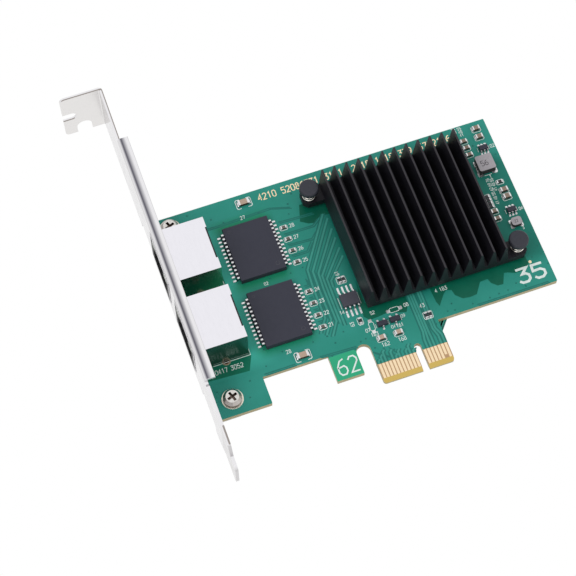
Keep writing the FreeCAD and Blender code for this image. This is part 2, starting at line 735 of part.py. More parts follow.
def inductor_terminals(x, y, size, reach):
    strips = []
    for side in (-1, 1):
        outer = x + side * (size[0] / 2 + reach)
        inner = x + side * size[0] * 0.2
        strips.append(box(min(outer, inner), max(outer, inner), y - size[1] * 0.42, y + size[1] * 0.42,
                          0, TERMINAL_T))
    return strips


def chip_parts(places, size, upright):
    """Bodies and metal ends of two-ended chips at the given places."""
    bodies, ends = [], []
    length, width, height = size
    cap = length * 0.18
    for x, y in places:
        middle = box(-length / 2 + cap, length / 2 - cap, -width / 2, width / 2, 0.02, height)
        caps = [box(-length / 2, -length / 2 + cap, -width / 2 - 0.02, width / 2 + 0.02, 0, height + 0.02),
                box(length / 2 - cap, length / 2, -width / 2 - 0.02, width / 2 + 0.02, 0, height + 0.02)]
        for shape in [middle] + caps:
            if upright:
                shape.rotate(Vec(0, 0, 0), UP, 90)
            shape.translate(Vec(x, y, 0))
        bodies.append(middle)
        ends += caps
    return bodies, ends


def coil_capacitor_places():
    return [(COIL_CAPACITOR_X, y - 1.45 + (1.5 - i) * COIL_CAPACITOR_PITCH) for y in COIL_YS for i in range(4)]


def capacitors():
    kinds = [(BIG_CAPACITORS, BIG_CAPACITOR_SIZE), (MID_CAPACITORS, MID_CAPACITOR_SIZE),
             (EDGE_CAPACITORS, MID_CAPACITOR_SIZE), (SINK_CAPACITORS, SMALL_CAPACITOR_SIZE),
             (coil_capacitor_places(), COIL_CAPACITOR_SIZE)]
    bodies, ends = [], []
    for places, size in kinds:
        more_bodies, more_ends = chip_parts(places, size, False)
        bodies += more_bodies
        ends += more_ends
    return group(bodies), group(ends)


def resistors():
    bodies, ends = chip_parts(SINK_RESISTORS, CHIP_RESISTOR_SIZE, False)
    more_bodies, more_ends = chip_parts(UPRIGHT_RESISTORS, CHIP_RESISTOR_SIZE, True)
    return group(bodies + more_bodies), group(ends + more_ends)


def jack_nodes():
    nodes = {}
    for name, y in zip(JACK_NAMES, JACK_YS):
        nodes[name + "_jack_shield"] = jack_shield(y)
        nodes[name + "_jack_housing"] = jack_housing(y)
        nodes[name + "_jack_contacts"] = jack_wires(y)
        nodes[name + "_jack_lamps"] = group([lamp(y, side, 0) for side in (-1, 1)])
    return nodes


def transformer_nodes():
    nodes = {}
    for name, y in zip(JACK_NAMES, COIL_YS):
        nodes[name + "_transformer"] = chip_body(COIL_X, y, COIL_SIZE, COIL_STAND)
        nodes[name + "_transformer_leads"] = transformer_leads(y)
    return nodes


def cooling_nodes():
    half = CHIP_SIZE / 2
    chip = box(SINK_CX - half, SINK_CX + half, SINK_CY - half, SINK_CY + half, 0, CHIP_T)
    pad = box(SINK_CX - half, SINK_CX + half, SINK_CY - half, SINK_CY + half, CHIP_T, SINK_Z0)
    nodes = {"heat_sink": heat_sink(), "controller_chip": chip, "thermal_pad": pad}
    for name, (x, y) in zip(("left", "right"), PUSH_PINS):
        nodes[name + "_push_pin"] = push_pin(x, y)
        nodes[name + "_pin_spring"] = pin_spring(x, y)
    return nodes


def small_part_nodes():
    capacitor_bodies, capacitor_ends = capacitors()
    resistor_bodies, resistor_ends = resistors()
    return {
        "memory_chip": small_package(*MEMORY, MEMORY_SIZE),
        "memory_chip_leads": memory_leads(),
        "transistors": group([small_package(x, y, TRANSISTOR_SIZE) for x, y in TRANSISTORS]),
        "transistor_leads": transistor_leads(),
        "regulators": group([small_package(x, y, REGULATOR_SIZE) for x, y in REGULATORS]),
        "regulator_leads": regulator_leads(),
        "large_inductor": inductor(*LARGE_INDUCTOR, LARGE_INDUCTOR_SIZE, 0.5),
        "large_inductor_terminals": group(inductor_terminals(*LARGE_INDUCTOR, LARGE_INDUCTOR_SIZE, 0.35)),
        "small_inductor": inductor(*SMALL_INDUCTOR, SMALL_INDUCTOR_SIZE, 0.8),
        "small_inductor_terminals": group(inductor_terminals(*SMALL_INDUCTOR, SMALL_INDUCTOR_SIZE, 0.2)),
        "capacitor_bodies": capacitor_bodies,
        "capacitor_ends": capacitor_ends,
        "resistor_bodies": resistor_bodies,
        "resistor_ends": resistor_ends,
    }


def build():
    nodes = {
        "circuit_board": circuit_board(),
        "edge_contacts_front": contact_strips(0, 1, LONG_SIDE_CONTACTS + SHORT_SIDE_CONTACTS - 2),
        "edge_contacts_back": contact_strips(-BOARD_T, -1, 0),
        "bracket": bracket(),
        "bracket_screws": group([bracket_screw(y) for y in SCREW_YS]),
    }
    nodes.update(jack_nodes())
    nodes.update(transformer_nodes())
    nodes.update(cooling_nodes())
    nodes.update(small_part_nodes())
    return nodes


os.makedirs("parts", exist_ok=True)
for node, shape in build().items():
    shape.exportStep(os.path.join("parts", node + ".step"))
    print(node, len(shape.Solids), "solids", round(shape.Volume, 1), "mm3", "valid", shape.isValid())
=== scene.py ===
import bmesh
import bpy
import json
import math
import random
from mathutils import Matrix, Vector


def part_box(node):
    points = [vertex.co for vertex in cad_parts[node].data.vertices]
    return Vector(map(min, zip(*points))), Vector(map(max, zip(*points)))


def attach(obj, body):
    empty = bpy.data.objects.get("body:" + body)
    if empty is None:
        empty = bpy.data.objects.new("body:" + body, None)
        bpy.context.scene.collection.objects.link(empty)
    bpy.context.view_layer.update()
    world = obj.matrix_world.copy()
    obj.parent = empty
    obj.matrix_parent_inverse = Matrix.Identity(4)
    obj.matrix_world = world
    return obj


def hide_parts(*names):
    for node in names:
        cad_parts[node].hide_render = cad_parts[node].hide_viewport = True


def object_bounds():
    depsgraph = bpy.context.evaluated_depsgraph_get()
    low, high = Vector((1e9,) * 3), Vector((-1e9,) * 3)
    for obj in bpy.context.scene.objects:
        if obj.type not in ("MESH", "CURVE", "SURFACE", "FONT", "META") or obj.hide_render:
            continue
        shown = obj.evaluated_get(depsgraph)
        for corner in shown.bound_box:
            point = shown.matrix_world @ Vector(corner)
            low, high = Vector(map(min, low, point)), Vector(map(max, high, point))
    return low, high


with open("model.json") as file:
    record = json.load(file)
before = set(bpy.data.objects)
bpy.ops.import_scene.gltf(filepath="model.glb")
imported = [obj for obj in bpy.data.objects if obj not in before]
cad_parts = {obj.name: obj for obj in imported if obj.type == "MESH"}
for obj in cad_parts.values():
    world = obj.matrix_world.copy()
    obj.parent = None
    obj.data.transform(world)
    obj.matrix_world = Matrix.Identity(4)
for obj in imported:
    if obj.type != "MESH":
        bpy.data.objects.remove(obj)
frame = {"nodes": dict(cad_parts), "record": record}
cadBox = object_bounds()
nodes = frame["nodes"]
mm = 0.001
boardLow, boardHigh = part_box("circuit_board")
topZ = boardHigh.z / mm  # component face
backZ = boardLow.z / mm  # solder face
print("frame loaded:", len(nodes), "nodes")


# shader maths
class Link:  # a socket that takes part in arithmetic
    def __init__(self, tree, socket):
        self.tree = tree
        self.socket = socket

    def joined(self, operation, first, second):
        node = self.tree.nodes.new("ShaderNodeMath")
        node.operation = operation
        for slot, item in zip(node.inputs, (first, second)):
            plug(self.tree, item, slot)
        return Link(self.tree, node.outputs[0])

    def __abs__(self):
        return self.joined("ABSOLUTE", self, 0)


signs = {"add": "ADD", "mul": "MULTIPLY", "gt": "GREATER_THAN", "lt": "LESS_THAN"}
for sign, operation in signs.items():
    setattr(Link, "__" + sign + "__",
            lambda self, other, operation=operation: self.joined(operation, self, other))


def plug(tree, value, socket):
    if isinstance(value, Link):
        tree.links.new(value.socket, socket)
    else:
        socket.default_value = value


class Finish:  # a material being built round one Principled shader
    def __init__(self, name, fixed):
        self.material = bpy.data.materials.new(name)
        self.material.use_nodes = True
        self.tree = self.material.node_tree
        self.shader = self.tree.nodes["Principled BSDF"]
        for key, value in fixed.items():
            self.feed(key, value)
        place = self.node("ShaderNodeTexCoord", output="Object")
        self.place = self.node("ShaderNodeVectorMath", {"operation": "SCALE"},
                               {0: place, "Scale": 1 / mm})
        self.values = dict(zip("xyz", self.split(self.place)))  # what tints go by
        normal = self.node("ShaderNodeNewGeometry", output="Normal")
        self.values["level"] = abs(self.split(normal)[2])  # 1 where a face looks up or down

    def node(self, kind, settings=None, values=None, output=0):
        made = self.tree.nodes.new(kind)
        for key, value in (settings or {}).items():
            setattr(made, key, value)
        for key, value in (values or {}).items():
            plug(self.tree, value, made.inputs[key])
        return Link(self.tree, made.outputs[output])

    def feed(self, name, value):
        plug(self.tree, value, self.shader.inputs[name])

    def split(self, vector):
        outs = self.node("ShaderNodeSeparateXYZ", None, {0: vector}).socket.node.outputs
        return [Link(self.tree, out) for out in outs]

    def noise(self, scale, detail=2, stretch=(1, 1, 1)):
        place = self.node("ShaderNodeVectorMath", {"operation": "MULTIPLY"},
                          {0: self.place, 1: stretch})
        values = {"Vector": place, "Scale": scale, "Detail": detail}
        return self.node("ShaderNodeTexNoise", None, values, "Fac")

    def span(self, value, low, high, start=0, end=1):
        values = {"Value": value, 1: low, 2: high, 3: start, 4: end}
        return self.node("ShaderNodeMapRange", None, values)

    def mix(self, factor, first, second):  # colours
        values = {0: factor}
        for key, item in ((6, first), (7, second)):
            values[key] = item if isinstance(item, Link) else (*item, 1)
        return self.node("ShaderNodeMix", {"data_type": "RGBA"}, values, 2)

    def tinted(self, base, tints):  # a tint: colour, share, edges; None makes an edge sharp
        for colour, share, *edges in tints:
            for name, low, high in edges:
                value = self.values[name]
                if high is None:
                    edge = value > low
                elif low is None:
                    edge = value < high
                else:
                    edge = self.span(value, low, high)
                share = edge * share
            base = self.mix(share, base, colour)
        return base

    def bump(self, height, strength, depth):  # depth in millimetres
        values = {"Height": height, "Strength": strength, "Distance": depth * mm}
        self.feed("Normal", self.node("ShaderNodeBump", None, values))


def layered(name, fixed, colours, grain, roughness, bump, spread=(0.3, 0.7), tints=(),
            worn=None, relief=None, dull=0):  # without worn or relief, the grain does for both
    look = Finish(name, fixed)
    noise = look.values["grain"] = look.noise(*grain)
    base = look.mix(look.span(noise, *spread), *colours)
    look.feed("Base Color", look.tinted(base, tints))
    rough = look.span(look.noise(*worn) if worn else noise, 0.3, 0.7, *roughness)
    look.feed("Roughness", rough + look.span(look.values["level"], 0.9, 0.5, 0, dull))
    look.bump(look.noise(*relief) if relief else noise, *bump)
    return look.material


def shaded(rgb, share):
    return tuple(c * share for c in rgb)


boardLook = {
    "mask": (0.026, 0.285, 0.228),
    "maskDeep": (0.020, 0.258, 0.200),
    "cloud": (0.06, 3),
    "cloudSpread": (0.42, 0.60),
    # painted shade and reflection in green below the transformers: its colour, share and rows
    "glow": (0.004, 0.225, 0.100),
    "transformerShadeShare": 0.8,
    "transformerShadeRows": (20.2, 40.2, 58.9),  # painted shade and reflection, just below each transformer
    "tints": (
        ((0.002, 0.150, 0.112), 0.75, ("x", -12.4, -9.2), ("y", 19, 23), ("y", 57, 53)),  # painted shade on the board beside the heat sink
        ((0.030, 0.400, 0.210), 1, ("x", -24, None), ("x", None, -16.1), ("y", None, 12)),  # tab
        ((0.520, 0.330, 0.180), 1, ("x", -12.2, None), ("y", None, 5.75)),  # between contacts
        ((0.620, 0.440, 0.110), 1, ("x", -12.2, None), ("y", None, 1.3)),  # bevel
    ),
    # painted light on the board between the jacks and the transformers, lifting the shade the lamps
    # leave there
    "paintedLightBesideJacks": ((0.040, 0.400, 0.315), 1, ("x", -36, -41), ("y", 15, 19), ("y", 61, 58)),
    "edge": (0.500, 0.420, 0.250),
    "edgeDeep": (0.330, 0.290, 0.130),
    "edgeGrain": (6, 2, (1, 1, 5)),
    "weave": 0.6,
    "worn": (0.4, 3),
    "roughness": (0.34, 0.46),
}


def boardFinish():
    look = Finish("solderMask", {"Specular IOR Level": 0.25})
    cloud = look.span(look.noise(*boardLook["cloud"]), *boardLook["cloudSpread"])
    base = look.mix(cloud, boardLook["mask"], boardLook["maskDeep"])
    # bands of painted shade and reflection just below the transformers
    transformerShades = [(boardLook["glow"], boardLook["transformerShadeShare"], ("y", row - 3.2, row - 0.3),
              ("y", row + 3.2, row + 0.3), ("x", -42.5, -39), ("x", -23.5, -27))
             for row in boardLook["transformerShadeRows"]]
    grain = look.span(look.noise(*boardLook["edgeGrain"]), 0.35, 0.65)
    edge = look.mix(grain, boardLook["edge"], boardLook["edgeDeep"])
    tints = [boardLook["paintedLightBesideJacks"], *transformerShades, *boardLook["tints"], (edge, 1, ("level", None, 0.6))]
    look.feed("Base Color", look.tinted(base, tints))
    weave, cross = (look.node("ShaderNodeTexWave", {"bands_direction": way},
                              {"Vector": look.place, "Scale": boardLook["weave"]})
                    for way in ("X", "Y"))
    worn = look.noise(*boardLook["worn"])
    look.feed("Roughness", look.span(worn, 0.3, 0.7, *boardLook["roughness"]))
    look.bump(weave * cross, 0.25, 0.01)
    return look.material


def metalFinish(name, rgb, roughness, grain=(1, 1, 1), depth=0.01, tone=0.95,
                uprightShade=None, dull=0.0, tints=()):  # the colour given to faces that stand upright: a painted shade and reflection
    return layered(name, {"Metallic": 1.0}, (rgb, shaded(rgb, tone)), (1.4, 4, grain),
                   (roughness - 0.04, roughness + 0.05), (0.1, depth), worn=(0.35, 3), dull=dull,
                   tints=((uprightShade or rgb, 1, ("level", 0.9, 0.55)), *tints))


# side scales the colour of upright faces: below 1 it paints shade on the sides
def mouldedFinish(name, rgb, roughness, scale=5, depth=0.02, side=1.0):
    return layered(name, {"Specular IOR Level": 0.3}, (rgb, shaded(rgb, 1.2)), (scale, 4),
                   (roughness - 0.06, roughness + 0.06), (0.35, depth), worn=(0.5,),
                   tints=((shaded(rgb, side), 1, ("level", 0.85, 0.5)),))


wallEdges = ("y", 38, None), ("y", None, 43), ("level", 0.8, 0.5)  # between the jacks
shieldTints = (
    ((0.36, 0.58, 0.50), 1, *wallEdges),  # lit board mirrored in the wall
    # the same painted reflection, stronger towards the jacks' rear
    ((0.40, 0.72, 0.52), 1, *wallEdges, ("x", -52, -46)),
    ((0.78, 0.77, 0.79), 1, ("x", None, -57.9)),  # bare lip in the bracket's window
)
flangeEdges = ("z", 13.3, None), ("y", 11.2, None), ("y", None, 88.3)
cutFace, cutColour = ("level", 0.8, None), (0.33, 0.30, 0.28)  # sheared edges of the sheet
bracketTints = (
    # painted shade: a darker line along the long flange's edge
    ((0.40, 0.38, 0.38), 0.4, *flangeEdges, ("x", -56.0, -55.85)),
    ((0.775, 0.760, 0.750), 1, ("y", 105.2, None), ("level", None, 0.5)),  # folded tab: its upright faces painted lighter, with less painted shade than the rest of the bracket
    ((0.33, 0.31, 0.30), 0.25, ("y", None, -2.6), ("level", None, 0.5)),  # tongue: painted shade, its upright faces a little darker
    # cuts of the tab, the neck and the tongue
    (cutColour, 1, cutFace, ("z", -2.5, None), ("y", 105.2, None), ("y", None, 105.775)),
    (cutColour, 1, cutFace, ("z", 9, None), ("y", 88.5, None), ("y", None, 105.3),
     ("x", -58.34, None)),
    (cutColour, 1, cutFace, ("z", -2.5, None), ("y", -8.3, None), ("y", None, -2.6),
     ("x", -58.54, None)),
    # painted reflection of a dark band of the room along the long flange's bend
    ((0.125, 0.122, 0.150), 1, *flangeEdges, ("x", -58.5, -57.95), ("x", -56.6, -57.8)),
)
screwLook = {
    "fixed": {"Metallic": 1.0},
    "colours": ((0.74, 0.72, 0.69), (0.60, 0.57, 0.54)),
    "grain": (1.2, 3),
    "spread": (0.35, 0.65),
    "tints": (
        # painted shade: the head's sides dark brown
        ((0.17, 0.115, 0.09), 1, ("level", 0.78, 0.45)),
        ((0.070, 0.048, 0.036), 1, ("level", None, 0.3)),  # painted shade on the walls of the cross, then on its floor
        ((0.13, 0.095, 0.08), 1, ("z", 0.55, None), ("z", None, 1.3), ("level", 0.9, None)),
    ),
    "worn": (0.8,),
    "roughness": (0.16, 0.26),
    "bump": (0.15, 0.01),
}
ceramicLook = {
    "fixed": {"Specular IOR Level": 0.3},
    "colours": ((0.455, 0.325, 0.250), (0.520, 0.385, 0.300)),
    "grain": (2.5, 3),
    "tints": (
        ((0.270, 0.205, 0.160), 1, ("x", 30, None)),  # darker at the right edge
        ((0.310, 0.240, 0.190), 1, ("x", 30, None), ("grain", 0.5, None)),
        ((0.130, 0.120, 0.105), 1, ("x", -24, None), ("x", None, -20.5)),  # beside transformers
        # painted shade: the chips' upright sides nearly black
        ((0.055, 0.034, 0.022), 1, ("level", None, 0.7)),
    ),
    "roughness": (0.36, 0.5),
    "bump": (0.2, 0.01),
}
sinkLook = {
    "fixed": {"Metallic": 0.2, "Specular IOR Level": 0.3},
    "colours": ((0.008, 0.008, 0.012), (0.016, 0.015, 0.020)),
    "grain": (5, 3, (1, 0.02, 1)),  # drawn along the fins
    "tints": (((0.031, 0.029, 0.034), 1, ("z", 10.85, 11.05)),),  # painted highlight along the fins' tips
    "roughness": (0.34, 0.50),
    "bump": (0.3, 0.02),
}
finishes = {
    "solder_mask": boardFinish(),
    "gold": metalFinish("goldPlate", (0.93, 0.74, 0.49), 0.24),
    # painted shade: upright faces of the bracket a little darker; its tints add more painted light,
    # shade and reflection
    "bracket_steel": metalFinish("platedSteel", (0.83, 0.82, 0.84), 0.20, (1, 0.15, 1), 0.005, 0.97,
                                 (0.695, 0.685, 0.695), tints=bracketTints),
    "screw_steel": layered("screwSteel", **screwLook),
    "black_anodised": layered("anodised", **sinkLook),
    "moulding": mouldedFinish("mouldedPackage", (0.030, 0.031, 0.047), 0.55),
    "thermal_pad": mouldedFinish("softPad", (0.35, 0.35, 0.38), 0.8),
    "pin_plastic": mouldedFinish("darkNylon", (0.028, 0.029, 0.039), 0.48, 3, 0.03),
    "spring_steel": metalFinish("springWire", (0.70, 0.66, 0.61), 0.20),
    # painted shade: upright faces of the tin are dark grey
    "tinned_metal": metalFinish("tinPlate", (0.76, 0.76, 0.77), 0.28, uprightShade=(0.22, 0.22, 0.22)),
    # painted shade: the inductor's sides nearly black
    "inductor_grey": mouldedFinish("pressedIron", (0.370, 0.350, 0.372), 0.62, 3, 0.04, 0.07),
    "capacitor_ceramic": layered("beigeCeramic", **ceramicLook),
    "resistor_black": mouldedFinish("darkGlaze", (0.030, 0.030, 0.036), 0.35),
    # painted reflection of the green board and painted shade on the shield's upright faces
    "shield_steel": metalFinish("shieldSteel", (0.84, 0.83, 0.88), 0.17, (1, 0.3, 1), 0.004, 0.98,
                                (0.16, 0.235, 0.205), 0.06, shieldTints),
    "jack_plastic": mouldedFinish("blackNylon", (0.014, 0.014, 0.016), 0.5),
    "lamp_plastic": mouldedFinish("lightPipe", (0.55, 0.60, 0.52), 0.3),
}
for entry in frame["record"]["subparts"]:
    mesh = nodes[entry["node"]].data
    mesh.materials.clear()
    mesh.materials.append(finishes[entry["material_slot"]])
nodes["memory_chip"].data.materials[0] = mouldedFinish("memoryPackage", (0.055, 0.055, 0.073), 0.5)
print("finishes assigned:", len(finishes))


# mesh helpers, all in millimetres
def islands(name):  # box of each separate solid in a node
    mesh = nodes[name].data
    spots = [tuple(round(c * 1e7) for c in vertex.co) for vertex in mesh.vertices]
    parent = {spot: spot for spot in spots}

    def root(spot):
        while parent[spot] != spot:
            parent[spot] = parent[parent[spot]]
            spot = parent[spot]
        return spot

    for face in mesh.polygons:
        first = root(spots[face.vertices[0]])
        for v in face.vertices[1:]:
            parent[root(spots[v])] = first
    boxes = {}
    for vertex, spot in zip(mesh.vertices, spots):
        low, high = boxes.setdefault(root(spot), (Vector((1e9,) * 3), Vector((-1e9,) * 3)))
        for axis in range(3):
            low[axis] = min(low[axis], vertex.co[axis] / mm)
            high[axis] = max(high[axis], vertex.co[axis] / mm)
    return sorted(boxes.values(), key=lambda b: (round(b[0].x, 2), round(b[0].y, 2)))


def toMesh(name, build):
    mesh = bpy.data.meshes.new(name)
    bmesh.ops.scale(build, vec=(mm, mm, mm), verts=build.verts)
    bmesh.ops.recalc_face_normals(build, faces=build.faces)
    build.to_mesh(mesh)
    build.free()
    return mesh


def addPiece(name, build, slotName, material=None, smooth=False):
    mesh = toMesh(name, build)
    for face in mesh.polygons:
        face.use_smooth = smooth
    mesh.materials.append(material or finishes[slotName])
    piece = bpy.data.objects.new(name, mesh)
    bpy.context.scene.collection.objects.link(piece)
    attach(piece, "root")
    return piece


def loft(build, rows, closed=False):  # faces between rows of corners, and at both ends
    for first, second in zip(rows, rows[1:] + rows[:1] if closed else rows[1:]):
        for i in range(len(first)):
            j = (i + 1) % len(first)
            build.faces.new((first[i], first[j], second[j], second[i]))
    if not closed:
        build.faces.new(rows[0][::-1])
        build.faces.new(rows[-1])


def prism(build, corners, z0, z1):
    loft(build, [[build.verts.new((x, y, z)) for x, y in corners] for z in (z0, z1)])


def octagon(x0, x1, y0, y1, cut):  # rectangle with its corners cut off
    return [(x0 + cut, y0), (x1 - cut, y0), (x1, y0 + cut), (x1, y1 - cut),
            (x1 - cut, y1), (x0 + cut, y1), (x0, y1 - cut), (x0, y0 + cut)]


def slab(build, x0, x1, y0, y1, z0, z1, cut=0.0):
    square = [(x0, y0), (x1, y0), (x1, y1), (x0, y1)]
    prism(build, octagon(x0, x1, y0, y1, cut) if cut else square, z0, z1)


def ribbon(build, points, width, z0, z1, closed=False):  # even strip with mitred bends
    path = [Vector(p) for p in points]
    count = len(path)
    rows = []
    for i, here in enumerate(path):
        before = path[i - 1] if (closed or i) else None
        after = path[(i + 1) % count] if (closed or i < count - 1) else None
        into = (here - before).normalized() if before is not None else (after - here).normalized()
        out = (after - here).normalized() if after is not None else into
        side = Vector((-into.y - out.y, into.x + out.x)).normalized()
        reach = width / 2 / max(0.35, side.dot(Vector((-into.y, into.x))))  # blunts sharp bends
        left, right = here + side * reach, here - side * reach
        rows.append([build.verts.new((p.x, p.y, z))
                     for p, z in ((left, z0), (right, z0), (right, z1), (left, z1))])
    loft(build, rows, closed)


def lathe(build, x, y, profile, steps):  # profile of (radius, z) turned about a vertical line
    turns = [2 * math.pi * i / steps for i in range(steps)]
    rings = []
    for radius, z in profile:
        spots = [(x + radius * math.cos(turn), y + radius * math.sin(turn), z) for turn in turns]
        rings.append([build.verts.new(spot) for spot in (spots if radius else spots[:1])])
    pairs = list(zip(rings, rings[1:]))
    if len(rings[0]) > 1:
        pairs.append((rings[-1], rings[0]))
    for a, b in pairs:
        for i in range(steps):
            j = (i + 1) % steps
            corners = (a[i % len(a)], a[j % len(a)], b[j % len(b)], b[i % len(b)])
            corners = list(dict.fromkeys(corners))
            if len(corners) > 2:
                build.faces.new(corners)


ringLook = {"bevel": 0.04, "steps": 36}


def ring(build, x, y, inner, outer, z0, z1):
    mid, lip = (z0 + z1) / 2, outer - ringLook["bevel"]
    lathe(build, x, y, [(inner, z0), (inner, z1), (lip, z1), (outer, mid), (outer, z0)],
          ringLook["steps"])


moundLook = {
    "steps": 16,
    "square": 0.4,  # 1 makes the foot round
    "rows": ((1, 0), (0.97, 0.35), (0.85, 0.72), (0.6, 0.95)),  # share of the foot, of the rise
}


def squared(value):
    return math.copysign(abs(value) ** moundLook["square"], value)


def solder(build, x, y, halfX, halfY, base, rise):  # soft-edged mound with a nearly square foot
    turns = [2 * math.pi * (i + 0.5) / moundLook["steps"] for i in range(moundLook["steps"])]
    foot = [(squared(math.cos(turn)) * halfX, squared(math.sin(turn)) * halfY) for turn in turns]
    loft(build, [[build.verts.new((x + px * shrink, y + py * shrink, base + rise * lift))
                  for px, py in foot] for shrink, lift in moundLook["rows"]])


strokes = {  # plotted numerals on a grid 2 wide and 4 high
    "0": [[(0.5, 0), (1.5, 0), (2, 0.7), (2, 3.3), (1.5, 4), (0.5, 4), (0, 3.3), (0, 0.7),
           (0.5, 0)]],
    "1": [[(0.3, 3.2), (1.1, 4), (1.1, 0)]],
    "2": [[(0, 3.3), (0.5, 4), (1.5, 4), (2, 3.3), (2, 2.6), (0, 0), (2, 0)]],
    "3": [[(0, 4), (2, 4), (0.9, 2.4), (1.5, 2.4), (2, 1.8), (2, 0.7), (1.5, 0), (0.5, 0),
           (0, 0.6)]],
    "4": [[(1.5, 0), (1.5, 4), (0, 1.2), (2, 1.2)]],
    "5": [[(2, 4), (0.1, 4), (0, 2.3), (1.4, 2.4), (2, 1.8), (2, 0.7), (1.4, 0), (0.5, 0),
           (0, 0.6)]],
    "6": [[(1.8, 4), (0.8, 3.6), (0, 2.2), (0, 0.7), (0.5, 0), (1.5, 0), (2, 0.7), (2, 1.6),
           (1.5, 2.2), (0, 1.9)]],
    "7": [[(0, 4), (2, 4), (0.7, 0)]],
    "8": [[(1, 2.2), (0.2, 2.8), (0.2, 3.5), (0.6, 4), (1.4, 4), (1.8, 3.5), (1.8, 2.8),
           (1, 2.2), (0, 1.5), (0, 0.6), (0.5, 0), (1.5, 0), (2, 0.6), (2, 1.5), (1, 2.2)]],
    "9": [[(0.2, 0), (1.2, 0.4), (2, 1.8), (2, 3.3), (1.5, 4), (0.5, 4), (0, 3.3), (0, 2.4),
           (0.5, 1.8), (2, 2.1)]],
}
numeralLook = {"advance": 0.72, "space": 0.55}  # shares of a numeral's height


def numerals(build, text, x, y, height, z0, z1, width, turn=0, spread=1):  # x, y: first corner
    grid = height / 4
    c, s = math.cos(math.radians(turn)), math.sin(math.radians(turn))
    pen = 0
    for mark in text:
        for path in strokes.get(mark, []):
            spots = [(px * grid * spread + pen, py * grid) for px, py in path]
            ribbon(build, [(x + u * c - v * s, y + u * s + v * c) for u, v in spots], width, z0, z1)
        pen += height * numeralLook["space" if mark == " " else "advance"] * spread


# camera, light and floor
cameraSpot = {
    "place": (-0.10046, -0.19034, 0.48875),
    "right": (0.94329, -0.33174, -0.01200),
    "down": (-0.30337, -0.84682, -0.43687),
    "lens": 123.3,
    "sensor": 36,
    "nearest": 0.01,
}


def makeCamera():
    lens = bpy.data.cameras.new("studioCamera")
    lens.lens = cameraSpot["lens"]
    lens.sensor_width = cameraSpot["sensor"]
    lens.clip_start = cameraSpot["nearest"]
    camera = bpy.data.objects.new("studioCamera", lens)
    right = Vector(cameraSpot["right"]).normalized()
    up = -Vector(cameraSpot["down"])
    up = (up - right * up.dot(right)).normalized()
    back = right.cross(up)
    turn = Matrix((right, up, back)).transposed().to_4x4()
    camera.matrix_world = Matrix.Translation(cameraSpot["place"]) @ turn
    bpy.context.scene.collection.objects.link(camera)
    bpy.context.scene.camera = camera


studio = {
    "worldStrength": 0.62,
    "key": {"place": (-0.55, -0.20, 0.80), "size": 0.6, "power": 3.0},
    "fill": {"place": (0.55, -0.30, 0.60), "size": 0.7, "power": 1.4},
    "aim": (0, 0.03, 0),
    "floorReach": 3.0,
    "floorDrop": 0.02,  # millimetres under the part
    "floorThick": 10,
    "floor": {"Base Color": (0.88, 0.88, 0.88, 1), "Roughness": 0.9, "Specular IOR Level": 0.1},
}


def addLamp(name, setup):
    lamp = bpy.data.lights.new(name, "AREA")
    lamp.shape = "SQUARE"
    lamp.size = setup["size"]
    lamp.energy = setup["power"]
    lampObject = bpy.data.objects.new(name, lamp)
    lampObject.location = setup["place"]
    aim = Vector(studio["aim"]) - Vector(setup["place"])
    lampObject.rotation_mode = "QUATERNION"
    lampObject.rotation_quaternion = aim.to_track_quat("-Z", "Y")
    bpy.context.scene.collection.objects.link(lampObject)


def seenRays(tree):  # 1 for what the camera sees, also in a mirror
    path = tree.nodes.new("ShaderNodeLightPath")
    seen = Link(tree, path.outputs["Is Camera Ray"]) + Link(tree, path.outputs["Is Glossy Ray"])
    seen = seen + Link(tree, path.outputs["Is Transmission Ray"])
    return seen.joined("MINIMUM", seen, 1)


def makeRoom():
    world = bpy.data.worlds.new("paleRoom")
    bpy.context.scene.world = world
    world.use_nodes = True
    tree = world.node_tree
    weak = studio["worldStrength"]
    background = tree.nodes["Background"].inputs
    background["Color"].default_value = (1, 1, 1, 1)
    plug(tree, seenRays(tree) * (1 - weak) + weak, background["Strength"])
    addLamp("keyLamp", studio["key"])
    addLamp("fillLamp", studio["fill"])


def floorFinish():  # white where the camera sees it, pale where it only throws light back
    look = Finish("paleFloor", studio["floor"])
    glow = look.node("ShaderNodeEmission")
    shade = Link(look.tree, look.shader.outputs[0])
    blend = look.node("ShaderNodeMixShader", None, {0: seenRays(look.tree), 1: shade, 2: glow})
    plug(look.tree, blend, look.tree.nodes["Material Output"].inputs[0])
    return look.material


def makeFloor():
    build = bmesh.new()
    reach = studio["floorReach"] / mm
    top = cadBox[0].z / mm - studio["floorDrop"]
    slab(build, -reach, reach, -reach, reach, top - studio["floorThick"], top)
    floor = bpy.data.objects.new("floor", toMesh("floor", build))
    bpy.context.scene.collection.objects.link(floor)
    floor.data.materials.append(floorFinish())


makeCamera()
makeRoom()
makeFloor()
bpy.context.scene.view_settings.view_transform = "Standard"
print("camera, lamps and floor made")


# springs on the push pins
springLook = {"turns": 3.9, "wire": 0.46, "stepsPerTurn": 40, "sides": 10, "flatEnd": 0.12}


